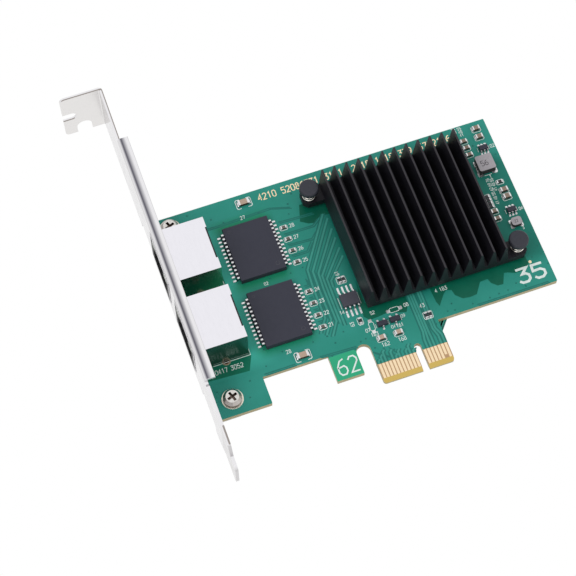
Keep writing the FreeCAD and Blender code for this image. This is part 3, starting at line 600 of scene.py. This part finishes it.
def makeSpring(node):
    low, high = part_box(node)
    centre = (low + high) / 2 / mm
    wire = springLook["wire"] / 2
    radius = (high.x - low.x) / 2 / mm - wire
    z0, z1 = low.z / mm + wire, high.z / mm - wire
    steps = int(springLook["turns"] * springLook["stepsPerTurn"])
    flat, sides = springLook["flatEnd"], springLook["sides"]
    build = bmesh.new()
    rows = []
    for i in range(steps + 1):
        share = i / steps
        rise = min(1, max(0, (share - flat) / (1 - 2 * flat)))  # the end coils lie flat
        turn = 2 * math.pi * springLook["turns"] * share
        around = Vector((math.cos(turn), math.sin(turn), 0))
        spot = Vector((centre.x, centre.y, z0 + (z1 - z0) * rise)) + around * radius
        ways = [2 * math.pi * k / sides for k in range(sides)]
        outs = [around * math.cos(way) + Vector((0, 0, math.sin(way))) for way in ways]
        rows.append([build.verts.new(spot + out * wire) for out in outs])
    loft(build, rows)
    piece = addPiece(node + "_coil", build, "spring_steel", smooth=True)
    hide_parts(node)


for node in ("left_pin_spring", "right_pin_spring"):
    makeSpring(node)
print("springs wound")


# solder on leads and chips
solderLook = {
    "leadRise": 0.12,
    "leadReach": 0.30,
    "leadInset": 0.25,
    "leadSpread": 0.56,
    "chipRise": 0.30,  # shares of the chip's size
    "chipPlace": 0.47,
    "chipReach": 0.15,
    "chipSpread": 0.52,
}


def wholeChips(kind):  # one box for each body with its two metal ends
    ends = islands(kind + "_ends")
    found = []
    for low, high in islands(kind + "_bodies"):
        centre = (low + high) / 2
        near = sorted(ends, key=lambda end: ((end[0] + end[1]) / 2 - centre).length)[:2]
        lows, highs = zip((low, high), *near)
        found.append((Vector([*map(min, *lows)]), Vector([*map(max, *highs)])))
    return found


chips = wholeChips("capacitor") + wholeChips("resistor")
packages = {
    "upper_transformer_leads": "upper_transformer",
    "lower_transformer_leads": "lower_transformer",
    "memory_chip_leads": "memory_chip",
    "transistor_leads": "transistors",
    "regulator_leads": "regulators",
}


def footPlaces(node):  # centre of each foot's toe, the way it points and its width
    bodies = [(low + high) / 2 for low, high in islands(packages[node])]
    places = []
    for low, high in islands(node):
        toe = (low + high) / 2
        size = high - low
        away = toe - min(bodies, key=lambda b: (b - toe).length)
        axis = 0 if size.x > size.y else 1
        side = math.copysign(1, away[axis])
        toe[axis] = high[axis] if side > 0 else low[axis]
        places.append((toe.x, toe.y, 0 if axis else side, side if axis else 0, size[1 - axis]))
    return places


def leadSolder():
    build = bmesh.new()
    reach, inset = solderLook["leadReach"], solderLook["leadInset"]
    for node in packages:
        for x, y, dx, dy, width in footPlaces(node):
            spread = width * solderLook["leadSpread"]
            solder(build, x - dx * inset, y - dy * inset, reach if dx else spread,
                   reach if dy else spread, topZ, solderLook["leadRise"])
    addPiece("leadSolder", build, "tinned_metal", smooth=True)


def chipSolder():
    build = bmesh.new()
    for low, high in chips:
        size = high - low
        axis = 0 if size.x > size.y else 1
        half = size * solderLook["chipSpread"]
        half[axis] = size[axis] * solderLook["chipReach"]
        for side in (-1, 1):
            spot = (low + high) / 2
            spot[axis] += side * size[axis] * solderLook["chipPlace"]
            solder(build, spot.x, spot.y, half.x, half.y, topZ, size.z * solderLook["chipRise"])
    addPiece("chipSolder", build, "tinned_metal", smooth=True)


leadSolder()
chipSolder()
print("solder laid")


# copper seen through the mask, on either face
copperLook = {
    "zoneColour": (0.0, 0.122, 0.072),
    "greenColour": (0.0, 0.150, 0.086),
    "lineColour": (0.048, 0.330, 0.265),
    "gapColour": (0.014, 0.182, 0.148),
    "line": 0.52,
    "gap": 0.42,
    "slip": 0.05,
    "rise": 0.012,  # of one level: no two printed tops share a height
    "zoneLevel": 1,
    "greenLevel": 0.8,
    "sideLevels": (1.35, 1.65),
    "lineLevel": 2,
    "shortGap": 0.336,
    "shortLevels": (1.2, 1.05),
    "shortShift": (0.3, -0.5),
}
bareZones = [
    [(-15.7, 59), (-17.2, 53.9), (-15.2, 52.6), (-13.6, 52.2), (-11.5, 53.6), (-8.6, 53.5),
     (-8.6, 59)],
    [(-8.9, 31.6), (-9.9, 25), (-10.7, 20.4), (-9.4, 18.85), (-6.9, 19), (-4.3, 19.3), (0.9, 17.7),
     (2.6, 20.9), (2.6, 24), (-8.9, 24)],
    [(9.4, 22.1), (9.6, 17.9), (10.1, 16.4), (12.4, 19.4), (13.5, 20.3), (14.9, 19.8), (15.2, 18.1),
     (16.9, 16.4), (18.9, 16.1), (21, 16.3), (23.2, 19.5), (25.5, 19.6), (25.9, 18.2), (27.4, 16.8),
     (29, 16.7), (30.4, 19.8), (31.5, 19.6), (33.3, 18.8), (36.2, 18.7), (38, 20.4), (37.8, 24),
     (9.4, 24)],
]
frontLines = [
    [(-10.4, 54.1), (-20.3, 39), (-20.7, 33.2), (-20.7, 23.5), (-23.4, 19.5)],
    [(-9.6, 52.4), (-19.1, 38), (-19.3, 32), (-19.3, 22.6), (-22, 18.6)],
    [(-9.6, 48.9), (-17.8, 37), (-18.1, 32), (-18.1, 21.6), (-20.6, 17.6)],
    [(-9.6, 45.9), (-17.1, 35.9), (-17.2, 30), (-17.2, 20.6)],
    [(-9.6, 42.6), (-16.2, 34.6), (-16.3, 29), (-16.3, 19.6)],
    [(-9.6, 39.9), (-15.3, 33.6), (-15.4, 31.6)],
]
frontGaps = [
    [(-23, 55.8), (-16.2, 55.5), (-13, 55.4)], [(-22.8, 51.7), (-14.3, 51.6), (-12.2, 53.2)],
    [(-22.9, 48.2), (-15.9, 47.8), (-14, 49.6)], [(-23, 44.6), (-18.4, 44.6), (-16.4, 47)],
    [(-23, 34.6), (-21.7, 34.6), (-21.7, 36.6)], [(-22.9, 30.7), (-21.6, 30.7)],
    [(-22.9, 26.9), (-21.6, 26.9)], [(-23, 23.1), (-21.8, 23.1), (-21.2, 22)],
    [(-12, 9.6), (-7.2, 6.2)], [(-7.4, 9.4), (-5, 6)], [(-26, 13.1), (-15.6, 12.7)],
    [(-56, 60.9), (-39.4, 60.4), (-24, 60.9), (-18.3, 59.2)], [(20, 13.3), (41, 13.3)],
    [(-41.8, 13.3), (-33, 13.3)],
]
frontVias = [
    (42.3, 21.9), (42.5, 24.5), (34.6, 14.1), (29.5, 14.6), (26.8, 14.4), (24, 14.1), (18.9, 14),
    (13.4, 16), (13.6, 13.8), (32.4, 15.8), (43, 18.5), (39.6, 21.8), (-14.2, 60.6), (-18.6, 60.4),
    (-19.4, 57.3), (-21.3, 40.2), (-22, 18.2), (-27.2, 60.6), (-37.5, 60.9), (-40.5, 62.9),
    (-39.5, 20.3), (-40.6, 15.4), (-20.6, 15.6), (-17.4, 18), (-35, 18), (-26.2, 17.9), (-11, 10.6),
    (-8.8, 9.6), (-6.2, 8.4), (-3.4, 9.8), (-2, 7.2), (3.4, 16.2), (7.2, 11.6), (11.6, 14.2),
    (37.2, 28.7), (42.3, 28.9), (42.2, 34.9), (42.4, 46.6), (42.4, 55.6), (37.3, 60.3), (36.5, 50),
    (-47.6, 8.2), (-46.1, 12.8), (-55.5, 12.6), (-12.4, 14), (-14, 13.6), (-16.6, 63.2),
    (-46.5, 66.3), (-31, 40), (-25, 39.7), (-22.7, 12.3), (-16.3, 11.9),
]
backVias = [
    (-42, 44), (-42, 33), (-20, 50), (-20, 27), (-10, 44), (-6, 30), (8, 17), (14, 58), (20, 30),
    (31, 48), (31, 33), (35, 41), (-30, 39), (-36, 17), (-14, 20), (2, 12), (4, 12), (-9, 12),
    (26, 55), (40, 60),
]
greenZones = [  # no copper under the jacks
    [(-57.2, 16.3), (-45.2, 15.6), (-43.4, 19.6), (-42.8, 61.4), (-57.2, 62)],
]
backZones = [
    [(-24, 22), (-8, 22), (-8, 38), (-16, 44), (-24, 40)],
    [(12, 16), (30, 16), (34, 24), (12, 24)],
]
backLines = [
    [(-41, 44 - k * 1.6), (-30, 44 - k * 1.6), (k - 24, 40 - k * 1.8), (k - 8, 40 - k * 1.8)]
    for k in range(8)]
contactXs = [-11.5 + i for i in range(11)] + [1.5 + i for i in range(7)]
traced = [(i * 7 % 5, x) for i, x in enumerate(contactXs) if i % 4 != 3]  # one in four has none


def stubs(step):  # short hooked traces of the left contacts
    return [[(x, 5.7), (x, 6.4 + k * step), (x + 0.6, 7 + k * step)] for k, x in traced if x < 0]


rightXs = [x for _, x in traced if x > 0]
frontTraces = stubs(0.55) + [
    [(x, 5.7), (x, 8.3), (x * 0.72 + 1.15, 10.6), (x * 0.72 + 1.15, 23)] for x in rightXs]
backTraces = stubs(2.4) + [
    [(x, 5.7), (x, 9.5), (x + 3.2, 13.4), (x + 3.2, 24 + x)] for x in rightXs]


def copperFinish(name, rgb):
    return layered(name, {"Specular IOR Level": 0.25}, (rgb, shaded(rgb, 0.88)), (0.25, 3),
                   (0.34, 0.46), (0.12, 0.01), (0.35, 0.65), worn=(0.6,), relief=(7, 2))


zoneFinish = copperFinish("bareLaminate", copperLook["zoneColour"])
greenFinish = copperFinish("greenLaminate", copperLook["greenColour"])
lineFinish = copperFinish("maskedCopper", copperLook["lineColour"])
gapFinish = copperFinish("maskedGap", copperLook["gapColour"])


def layZ(front, level):  # low and high of a printed layer
    rise = copperLook["rise"] * level
    if front:
        return topZ, topZ + rise
    return backZ - rise, backZ


def layZones(name, zones, finish, front, level):
    build = bmesh.new()
    for corners in zones:
        prism(build, corners, *layZ(front, level))
    addPiece(name, build, "solder_mask", finish)


def layLines(front, strands, shorts, end):
    lines, gaps = bmesh.new(), bmesh.new()
    width, gap, slip = (copperLook[key] for key in ("line", "gap", "slip"))
    for path in strands:
        ribbon(lines, path, width, *layZ(front, copperLook["lineLevel"]))
        for side, level in zip((-1, 1), copperLook["sideLevels"]):
            shift = side * (width + gap) / 2
            beside = [(x + shift, y - side * slip) for x, y in path]
            ribbon(gaps, beside, gap, *layZ(front, level))
    first, second = copperLook["shortLevels"]
    right, up = copperLook["shortShift"]
    for path in shorts:
        ribbon(gaps, path, copperLook["shortGap"], *layZ(front, first))
        beside = [(x + right, y + up) for x, y in path]
        ribbon(gaps, beside, copperLook["shortGap"], *layZ(front, second))
    addPiece("copperLines" + end, lines, "solder_mask", lineFinish)
    addPiece("copperGaps" + end, gaps, "solder_mask", gapFinish)


viaLook = {
    "radius": 0.24,
    "vary": (0.85, 1.1),
    "level": 3,
    "sides": 14,
    # shares of the radius and the rise
    "profile": ((0, 0.3), (0.55, 0.3), (0.75, 1), (1, 1), (1.15, 0), (0, 0)),
}


def drillVias():
    random.seed(7)
    for front, spots in ((True, frontVias), (False, frontVias + backVias)):
        build = bmesh.new()
        z0, z1 = layZ(front, viaLook["level"])
        low, high = (z0, z1) if front else (z1, z0)
        for x, y in spots:
            radius = viaLook["radius"] * random.uniform(*viaLook["vary"])
            profile = [(radius * out, low + (high - low) * up) for out, up in viaLook["profile"]]
            lathe(build, x, y, profile, viaLook["sides"])
        addPiece("viasFront" if front else "viasBack", build, "solder_mask", gapFinish, smooth=True)


layZones("bareZonesFront", bareZones, zoneFinish, True, copperLook["zoneLevel"])
layZones("greenZonesFront", greenZones, greenFinish, True, copperLook["greenLevel"])
layZones("bareZonesBack", backZones, zoneFinish, False, copperLook["zoneLevel"])
layLines(True, frontLines + frontTraces, frontGaps, "Front")
layLines(False, backTraces + backLines, [], "Back")
drillVias()
print("copper, zones and vias laid")


# printed legend in plain numbers and outlines
inkLook = {
    "colour": (0.82, 0.91, 0.88),
    "rise": 0.036,
    "line": 0.16,
    "corner": 0.3,
    "margin": 0.315,  # round small chips
    "bigChip": 3,
    "bigMargin": 0.63,
    "bigLine": 0.208,
    "bracket": 0.28,  # share of a big chip's length
    "labelStart": 21,  # numbers beside the column of capacitors
    "labelX": -22.2,
    "labelHeight": 1.05,
    "labelShift": (0.95, -0.45),
    "package": (0.35, 0.1),  # gap, trim
    "jack": (5, 0.4, 0.25, 1.6),  # start, end, gap, hook
    "frameLine": 0.192,
}
inkColours = inkLook["colour"], shaded(inkLook["colour"], 0.86)
inkFinish = layered("whiteInk", {"Specular IOR Level": 0.4}, inkColours, (0.9, 3), (0.50, 0.63),
                    (0.2, 0.01), (0.35, 0.65), worn=(2.5,), relief=(9, 3))
frontNumbers = [  # text, x, y, height, stroke, turn
    ("62", -22.5, 5.9, 4.6, 0.42, 0), ("0417 3052", -54.2, 17.35, 1.3, 0.16, 0),
    ("4 183", 10.5, 20.5, 1.05, 0.15, 0), ("27", -32.6, 60.0, 1.05, 0.15, 0),
    ("28", -34.1, 16.9, 1.05, 0.15, 0), ("02", -33.0, 38.4, 0.9, 0.14, 0),
    ("14", -16.4, 23.0, 1.0, 0.15, 0), ("61", -12.6, 34.6, 1.0, 0.15, 90),
    ("63", -13.9, 18.6, 1.0, 0.15, 90), ("07", -11.6, 15.6, 1.0, 0.15, 0),
    ("08", 0.9, 19.4, 1.0, 0.15, 0), ("04", -4.6, 14.4, 0.9, 0.14, 0),
    ("09", -1.0, 16.6, 0.9, 0.14, 0), ("163", -10.6, 13.9, 1.0, 0.15, 0),
    ("162", -8.9, 10.1, 1.1, 0.15, 0), ("161", -3.2, 14.2, 1.0, 0.15, 0),
    ("168", -4.1, 10.1, 1.1, 0.15, 0), ("43", 4.9, 17.6, 1.05, 0.15, 0),
    ("52", -8.6, 20.2, 0.95, 0.14, 0), ("02", 41.9, 58.0, 1.0, 0.15, 0),
    ("1", 38.1, 48.9, 1.0, 0.15, 0), ("04", 42.0, 36.6, 0.9, 0.14, 0),
    ("3", 40.6, 30.7, 0.9, 0.14, 0),
]
bigNumber = ("35", 33.6, 15.2, 4.2, 0.72, 1.5)  # text, x, y, height, stroke, spread
labelColumns = [  # x, lowest y, count, pitch, turn
    (37.5, 40.4, 6, 1.5, 90), (38.6, 44.6, 3, 1.5, 90),
    (35.1, 64.2, 3, 1.1, 0), (33.4, 64.6, 3, 1.1, 0),
]
columnLook = {"numbers": [str(41 + 7 * i) for i in range(6)], "height": 0.85, "stroke": 0.13}
emptyPads = [  # unfitted two-pad places: x, y, half length, half width, along X
    (-2.06, 19.57, 1.75, 0.8, True), (-9.55, 16.86, 1.7, 0.8, False),
]
emptyLook = {"share": 0.72, "margin": 0.1}
inductorLines = [  # insets at the left and the right, side, distance
    (0.3, 0.3, 1, 0.35), (1.2, 1.4, -1, 0.45),
]
backNumbers = [  # text, x of the first mark, y, height, stroke
    ("7421", -30, 52, 3.0, 0.4), ("0358", 2, 52, 3.0, 0.4), ("1604", 30, 17, 1.5, 0.22),
    ("29", 24.6, 17, 1.5, 0.22), ("5", -18.6, 6.6, 3.4, 0.5),
]
backFrames = [((-57, 19.6), (-43.3, 37.4)), ((-57, 41.2), (-43.3, 59))]


def inkFrame(build, low, high, margin, z, line, broken=False):
    x0, x1, y0, y1 = low.x - margin, high.x + margin, low.y - margin, high.y + margin
    corner = inkLook["corner"]
    if not broken:
        ribbon(build, octagon(x0, x1, y0, y1, corner), line, *z, closed=True)
        return
    reach = (x1 - x0) * inkLook["bracket"]
    for x, side in ((x0, 1), (x1, -1)):
        far, near = x + side * reach, x + side * corner
        path = [(far, y0), (near, y0), (x, y0 + corner), (x, y1 - corner), (near, y1), (far, y1)]
        ribbon(build, path, line, *z)


def frameChips(build, z):
    line, height, label = (inkLook[key] for key in ("line", "labelHeight", "labelStart"))
    right, up = inkLook["labelShift"]
    for low, high in chips:
        size = high - low
        if max(size.x, size.y) > inkLook["bigChip"]:
            inkFrame(build, low, high, inkLook["bigMargin"], z, inkLook["bigLine"], True)
        else:
            inkFrame(build, low, high, inkLook["margin"], z, line)
        centre = (low + high) / 2
        if abs(centre.x - inkLook["labelX"]) < 1:
            numerals(build, str(label), high.x + right, centre.y + up, height, *z, line)
            label += 1
    for x, y, a, b, alongX in emptyPads:
        half = Vector((a, b, 0)) if alongX else Vector((b, a, 0))
        half *= emptyLook["share"]
        here = Vector((x, y, 0))
        inkFrame(build, here - half, here + half, emptyLook["margin"], z, line)


def framePackages(build, z):
    line = inkLook["line"]
    gap, trim = inkLook["package"]
    for node in ("memory_chip", "transistors", "regulators"):
        for low, high in islands(node):
            for x in (low.x - gap, high.x + gap):
                ribbon(build, [(x, low.y + trim), (x, high.y - trim)], line, *z)
    for low, high in islands("large_inductor"):
        for left, right, side, away in inductorLines:
            y = (high.y if side > 0 else low.y) + side * away
            ribbon(build, [(low.x + left, y), (high.x - right, y)], line, *z)
    start, end, gap, hook = inkLook["jack"]
    for node in ("upper_jack_shield", "lower_jack_shield"):
        low, high = (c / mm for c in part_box(node))
        x0, x1 = low.x + start, high.x + end
        for wall, side in ((low.y, -1), (high.y, 1)):
            y = wall + side * gap
            ribbon(build, [(x0, y), (x1, y), (x1, wall - side * hook)], line, *z)


def printFront():
    build = bmesh.new()
    z = (topZ, topZ + inkLook["rise"])
    for text, x, y, height, stroke, turn in frontNumbers:
        numerals(build, text, x, y, height, *z, stroke, turn)
    text, x, y, height, stroke, spread = bigNumber
    numerals(build, text, x, y, height, *z, stroke, 0, spread)
    for x, y0, count, pitch, turn in labelColumns:
        for i, text in enumerate(columnLook["numbers"][:count]):
            y = y0 + i * pitch
            numerals(build, text, x, y, columnLook["height"], *z, columnLook["stroke"], turn)
    frameChips(build, z)
    framePackages(build, z)
    addPiece("legendFront", build, "legend_ink", inkFinish)


def printBack():
    build = bmesh.new()
    z = (backZ - inkLook["rise"], backZ)
    for text, x, y, height, stroke in backNumbers:
        numerals(build, text, x, y, height, *z, stroke, 0, -1)  # read from below
    for low, high in backFrames:
        inkFrame(build, Vector(low), Vector(high), 0, z, inkLook["frameLine"])
    addPiece("legendBack", build, "legend_ink", inkFinish)


printFront()
printBack()
print("legend printed")


# bare pads and gold numbers
padLook = {
    "rise": 0.03,
    "cut": 0.35,
    "ringOuter": 3.0,
    "ringInner": 2.45,
    "legX": -50.3,  # the shields' middle legs
    "legOut": 0.2,
    "legRing": 1.2,
    "legHole": 0.85,
    "legCore": 0.12,
    "legRise": 0.05,
    "holeRise": 0.035,
    "emptyHalf": ((0.5, 0.5), (0.55, 0.5)),  # along Y, along X
    "fiducial": (38.5, 20.6, 0.0451, 0.45),  # x, y, inner and outer radius
}
footPads = {  # shift of a pad along X and Y as its lead points, half length along X and Y
    "memory_chip_leads": (0, 0.25, 0.27, 1.05),
    "transistor_leads": (0, -0.1, 0.28, 0.4),
    "regulator_leads": (0, -0.1, 0.28, 0.4),
    "upper_transformer_leads": (-0.35, 0, 0.45, 0.28),
    "lower_transformer_leads": (-0.35, 0, 0.45, 0.28),
}
inductorPads = {  # inset along X; then inset, half X and half Y of the near and the far pads
    "large_inductor": (0.35, (0.35, 0.85, 0.85), (1.2, 0.75, 0.95)),
    "small_inductor": (0.2, (0.45, 0.55, 0.6), (0.45, 0.55, 0.6)),
}
goldLook = {"y": 64.0, "height": 1.95, "stroke": 0.27}
goldNumbers = [  # groups along the far edge: text, x
    ("4210", -25.8), ("52086731", -18.8), ("3141", -5.9), ("2718", 2.4),
    ("16180339", 9.5), ("5772156", 22.6),
]
paleTin = metalFinish("paleTin", (0.80, 0.75, 0.64), 0.3)
# the legs' pad rims: warm metal partly darkened by painted shade; the holes a near-black painted
# shade
holeShadeFinish = metalFinish("paintedHoleShade", (0.10, 0.042, 0.026), 0.35)
shadedPadRim = metalFinish("shadedPadRim", (0.42, 0.31, 0.23), 0.35)


def pad(build, x, y, halfX, halfY, z):
    cut = min(halfX, halfY) * padLook["cut"]
    slab(build, x - halfX, x + halfX, y - halfY, y + halfY, *z, cut)


def layPads(z):
    build = bmesh.new()
    for node, (outX, outY, halfX, halfY) in footPads.items():
        for x, y, dx, dy, _ in footPlaces(node):
            pad(build, x + dx * outX, y + dy * outY, halfX, halfY, z)
    for x, y, a, _, alongX in emptyPads:
        for side in (-1, 1):
            shift = (side * a, 0) if alongX else (0, side * a)
            pad(build, x + shift[0], y + shift[1], *padLook["emptyHalf"][alongX], z)
    for node, (inset, near, far) in inductorPads.items():
        for low, high in islands(node):
            for x in (low.x + inset, high.x - inset):
                pad(build, x, low.y + near[0], *near[1:], z)
                pad(build, x, high.y - far[0], *far[1:], z)
    addPiece("barePads", build, "tinned_metal")


def layRings(z):
    build = bmesh.new()
    for low, high in islands("bracket_screws"):
        centre = (low + high) / 2
        ring(build, centre.x, centre.y, padLook["ringInner"], padLook["ringOuter"], *z)
    addPiece("screwPads", build, "tinned_metal", paleTin)
    rims, holes = bmesh.new(), bmesh.new()
    x, hole = padLook["legX"], padLook["legHole"]
    for low, high in islands("upper_jack_housing") + islands("lower_jack_housing"):
        for y in (low.y - padLook["legOut"], high.y + padLook["legOut"]):
            ring(rims, x, y, hole, padLook["legRing"], topZ, topZ + padLook["legRise"])
            ring(holes, x, y, padLook["legCore"], hole - 0.01, topZ, topZ + padLook["holeRise"])
    addPiece("legRings", rims, "gold", shadedPadRim)
    addPiece("legHoles", holes, "gold", holeShadeFinish)
    build = bmesh.new()
    ring(build, *padLook["fiducial"], *z)
    for text, x in goldNumbers:
        numerals(build, text, x, goldLook["y"], goldLook["height"], *z, goldLook["stroke"])
    addPiece("goldNumbers", build, "gold")


layPads((topZ, topZ + padLook["rise"]))
layRings((topZ, topZ + padLook["rise"]))
print("pads and gold numbers laid")


# dark moulded blocks between the transformers' leads: partly the package's side down to the board,
# partly painted shade between the leads
leadShadeLook = {"root": 0.2, "reach": 0.72, "drop": 0.18, "gap": 0.05, "foot": 0.25, "cut": 0.12}


def makeRibs():
    build = bmesh.new()
    for name in ("upper_transformer", "lower_transformer"):
        low, high = (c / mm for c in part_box(name))
        leads = islands(name + "_leads")  # in order of X, then Y
        half = len(leads) // 2
        for side, face, row in ((-1, low.x, leads[:half]), (1, high.x, leads[half:])):
            x0, x1 = sorted((face - side * leadShadeLook["root"], face + side * leadShadeLook["reach"]))
            for first, second in zip(row, row[1:]):
                y0, y1 = first[1].y + leadShadeLook["gap"], second[0].y - leadShadeLook["gap"]
                top = first[1].z - leadShadeLook["drop"]
                cut = min(y1 - y0, x1 - x0) * leadShadeLook["cut"]
                slab(build, x0, x1, y0, y1, topZ + leadShadeLook["foot"], top, cut)
    addPiece("leadGapShades", build, "moulding")


makeRibs()
print("ribs made")


# through-hole joints on the solder face
jointLook = {
    "pinRadius": 0.62,
    "pinInset": 0.125,
    "legRadius": 0.95,
    "legStretch": 1.35,
    "steps": 20,
    "profile": ((0, 0), (1.2, 0), (1.2, -0.03), (1, -0.045),  # share of the radius, height
                (0.72, -0.175), (0.42, -0.4), (0.22, -0.5), (0, -0.5)),
}


def joint(build, x, y, radius, stretch=1.0):
    start = len(build.verts)
    profile = [(radius * out, backZ + z) for out, z in jointLook["profile"]]
    lathe(build, x, y, profile, jointLook["steps"])
    build.verts.ensure_lookup_table()
    for vertex in build.verts[start:]:
        vertex.co.x = x + (vertex.co.x - x) * stretch


def makeJoints():
    build = bmesh.new()
    inset = jointLook["pinInset"]
    for name in ("upper", "lower"):
        for low, high in islands(name + "_jack_contacts"):
            joint(build, high.x - inset, (low.y + high.y) / 2, jointLook["pinRadius"])
        low, high = (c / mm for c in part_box(name + "_jack_shield"))
        for y in (low.y + inset, high.y - inset):
            joint(build, padLook["legX"], y, jointLook["legRadius"], jointLook["legStretch"])
    addPiece("throughJoints", build, "tinned_metal", smooth=True)


makeJoints()
print("joints on the solder face made")


# jack details
jackLook = {
    "rib": 0.26,
    "ribFront": 0.5,
    "ribBack": -50.4,
    "ribZ": (0.92, 1.9),
    "stepReach": 2.2,
    "stepZ": (2.3, 3.9),
    # dark strips in the slits at the shields' rear flaps: painted shade
    "slitShadeInset": 0.42,
    "slitShadeReach": 0.36,
    "slitShadeY": (0.15, 4.7),  # from the jack's middle
    "slitShadeLow": 2.2,
    "slitShadeTop": 0.12,
    "flapReach": 0.12,
    "flapInset": 0.8,
    "flapLow": 0.7,
    "rim": 0.22,
    "rimX": (-0.03, 0.6),
    "fingerLows": (2.4, 6.6),
    # X span, thickness, Z span of a grounding finger's two steps
    "fingers": ((0.3, 2.9, 0.14, 0, 2.2), (0.7, 2.3, 0.28, 0.25, 1.95)),
}


def makeCombs(build, name, front):
    wires = sorted((low.y + high.y) / 2 for low, high in islands(name + "_jack_contacts"))
    pitch = (wires[-1] - wires[0]) / (len(wires) - 1)
    half, back = jackLook["rib"] / 2, jackLook["ribBack"]
    for wire in wires[:-1]:
        y0, y1 = wire + pitch / 2 - half, wire + pitch / 2 + half
        slab(build, front + jackLook["ribFront"], back, y0, y1, *jackLook["ribZ"])
        slab(build, back, back + jackLook["stepReach"], y0, y1, *jackLook["stepZ"])


# painted shade: dark plastic strips in the slit at each shield's rear flap, where the real jack
# shows only shadow
def makeFilms(build, middle, rear, top):
    start, low, flap = rear - jackLook["slitShadeInset"], jackLook["slitShadeLow"], jackLook["flapLow"]
    near, far = jackLook["slitShadeY"]
    inset = jackLook["flapInset"]
    for y0, y1 in ((middle - far, middle - near), (middle + near, middle + far)):
        slab(build, start, start + jackLook["slitShadeReach"], y0, y1, low, top - jackLook["slitShadeTop"])
        slab(build, start, start + jackLook["flapReach"], y0 + inset, y1 - inset, flap, low)


def makeRims(build, name, front):
    rim = jackLook["rim"]
    x0, x1 = (front + reach for reach in jackLook["rimX"])
    for low, high in islands(name + "_jack_lamps"):
        for z0, z1 in ((low.z - rim, low.z), (high.z, high.z + rim)):
            slab(build, x0, x1, low.y - rim, high.y + rim, z0, z1)
        for y0, y1 in ((low.y - rim, low.y), (high.y, high.y + rim)):
            slab(build, x0, x1, y0, y1, low.z, high.z)


def makeFingers(build, front, walls):
    for side, wall in walls:
        for z in jackLook["fingerLows"]:
            for x0, x1, thick, low, high in jackLook["fingers"]:
                y0, y1 = sorted((wall, wall + side * thick))
                slab(build, front + x0, front + x1, y0, y1, z + low, z + high)


def detailJacks():
    combs, slitShades, rims, fingers = bmesh.new(), bmesh.new(), bmesh.new(), bmesh.new()
    for name in ("upper", "lower"):
        low, high = (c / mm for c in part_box(name + "_jack_shield"))
        makeCombs(combs, name, low.x)
        makeFilms(slitShades, (low.y + high.y) / 2, high.x, high.z)
        makeRims(rims, name, low.x)
        makeFingers(fingers, low.x, ((-1, low.y), (1, high.y)))
    addPiece("contactCombs", combs, "jack_plastic")
    addPiece("rearSlitShades", slitShades, "jack_plastic")
    addPiece("lampRims", rims, "jack_plastic")
    addPiece("shieldFingers", fingers, "shield_steel")


detailJacks()
print("jack details made")


# marks on the packages, discs on the pin heads
markLook = {
    "rise": 0.012,
    "large": (1.05, 1.5, 1.6, 0.2),  # number's x, y, height, stroke
    "small": (0.85, 0.8, 0.85, 0.12),
    # a dot's shift along X and Y, radii, rise
    "dots": ((-2.0, 2.0, 0.45, 0.62, 0.02), (1.6, -1.6, 0.3, 0.42, 0.02)),
    "chipDot": (0.8, 0.8, 0.2, 0.3, 0.015),
    "discSteps": 48,
    "disc": ((0, 0), (2.3, 0), (2.22, 0.049), (2.05, 0.07), (0.55, 0.07), (0.45, 0.021),
             (0, 0.021)),
}
markFinish = mouldedFinish("mouldMark", (0.050, 0.051, 0.064), 0.5)
inkMarkFinish = mouldedFinish("greyInk", (0.085, 0.078, 0.088), 0.6)


def markNumber(build, text, place, low, high):
    x, y, height, stroke = place
    z0, z1 = high.z, high.z + markLook["rise"]
    numerals(build, text, low.x + x, low.y + y, height, z0, z1, stroke)


def markDot(build, place, low, high):
    x, y, inner, outer, rise = place  # a shift below 0 counts from the far side
    x += high.x if x < 0 else low.x
    y += high.y if y < 0 else low.y
    ring(build, x, y, inner, outer, high.z, high.z + rise)


def markTops():
    ink = bmesh.new()
    low, high = (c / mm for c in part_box("large_inductor"))
    markNumber(ink, "56", markLook["large"], low, high)
    low, high = (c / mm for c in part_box("small_inductor"))
    markNumber(ink, "22", markLook["small"], low, high)
    addPiece("inductorMarks", ink, "moulding", inkMarkFinish)
    dots = bmesh.new()
    for node in ("upper_transformer", "lower_transformer"):
        low, high = (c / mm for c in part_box(node))
        for place in markLook["dots"]:
            markDot(dots, place, low, high)
    low, high = (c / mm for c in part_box("memory_chip"))
    markDot(dots, markLook["chipDot"], low, high)
    addPiece("mouldMarks", dots, "moulding", markFinish)
    discs = bmesh.new()
    for node in ("left_push_pin", "right_push_pin"):
        low, high = (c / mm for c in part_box(node))
        centre = (low + high) / 2
        profile = [(radius, high.z + z) for radius, z in markLook["disc"]]
        lathe(discs, centre.x, centre.y, profile, markLook["discSteps"])
    addPiece("pinDiscs", discs, "pin_plastic")


markTops()
print("marks made")
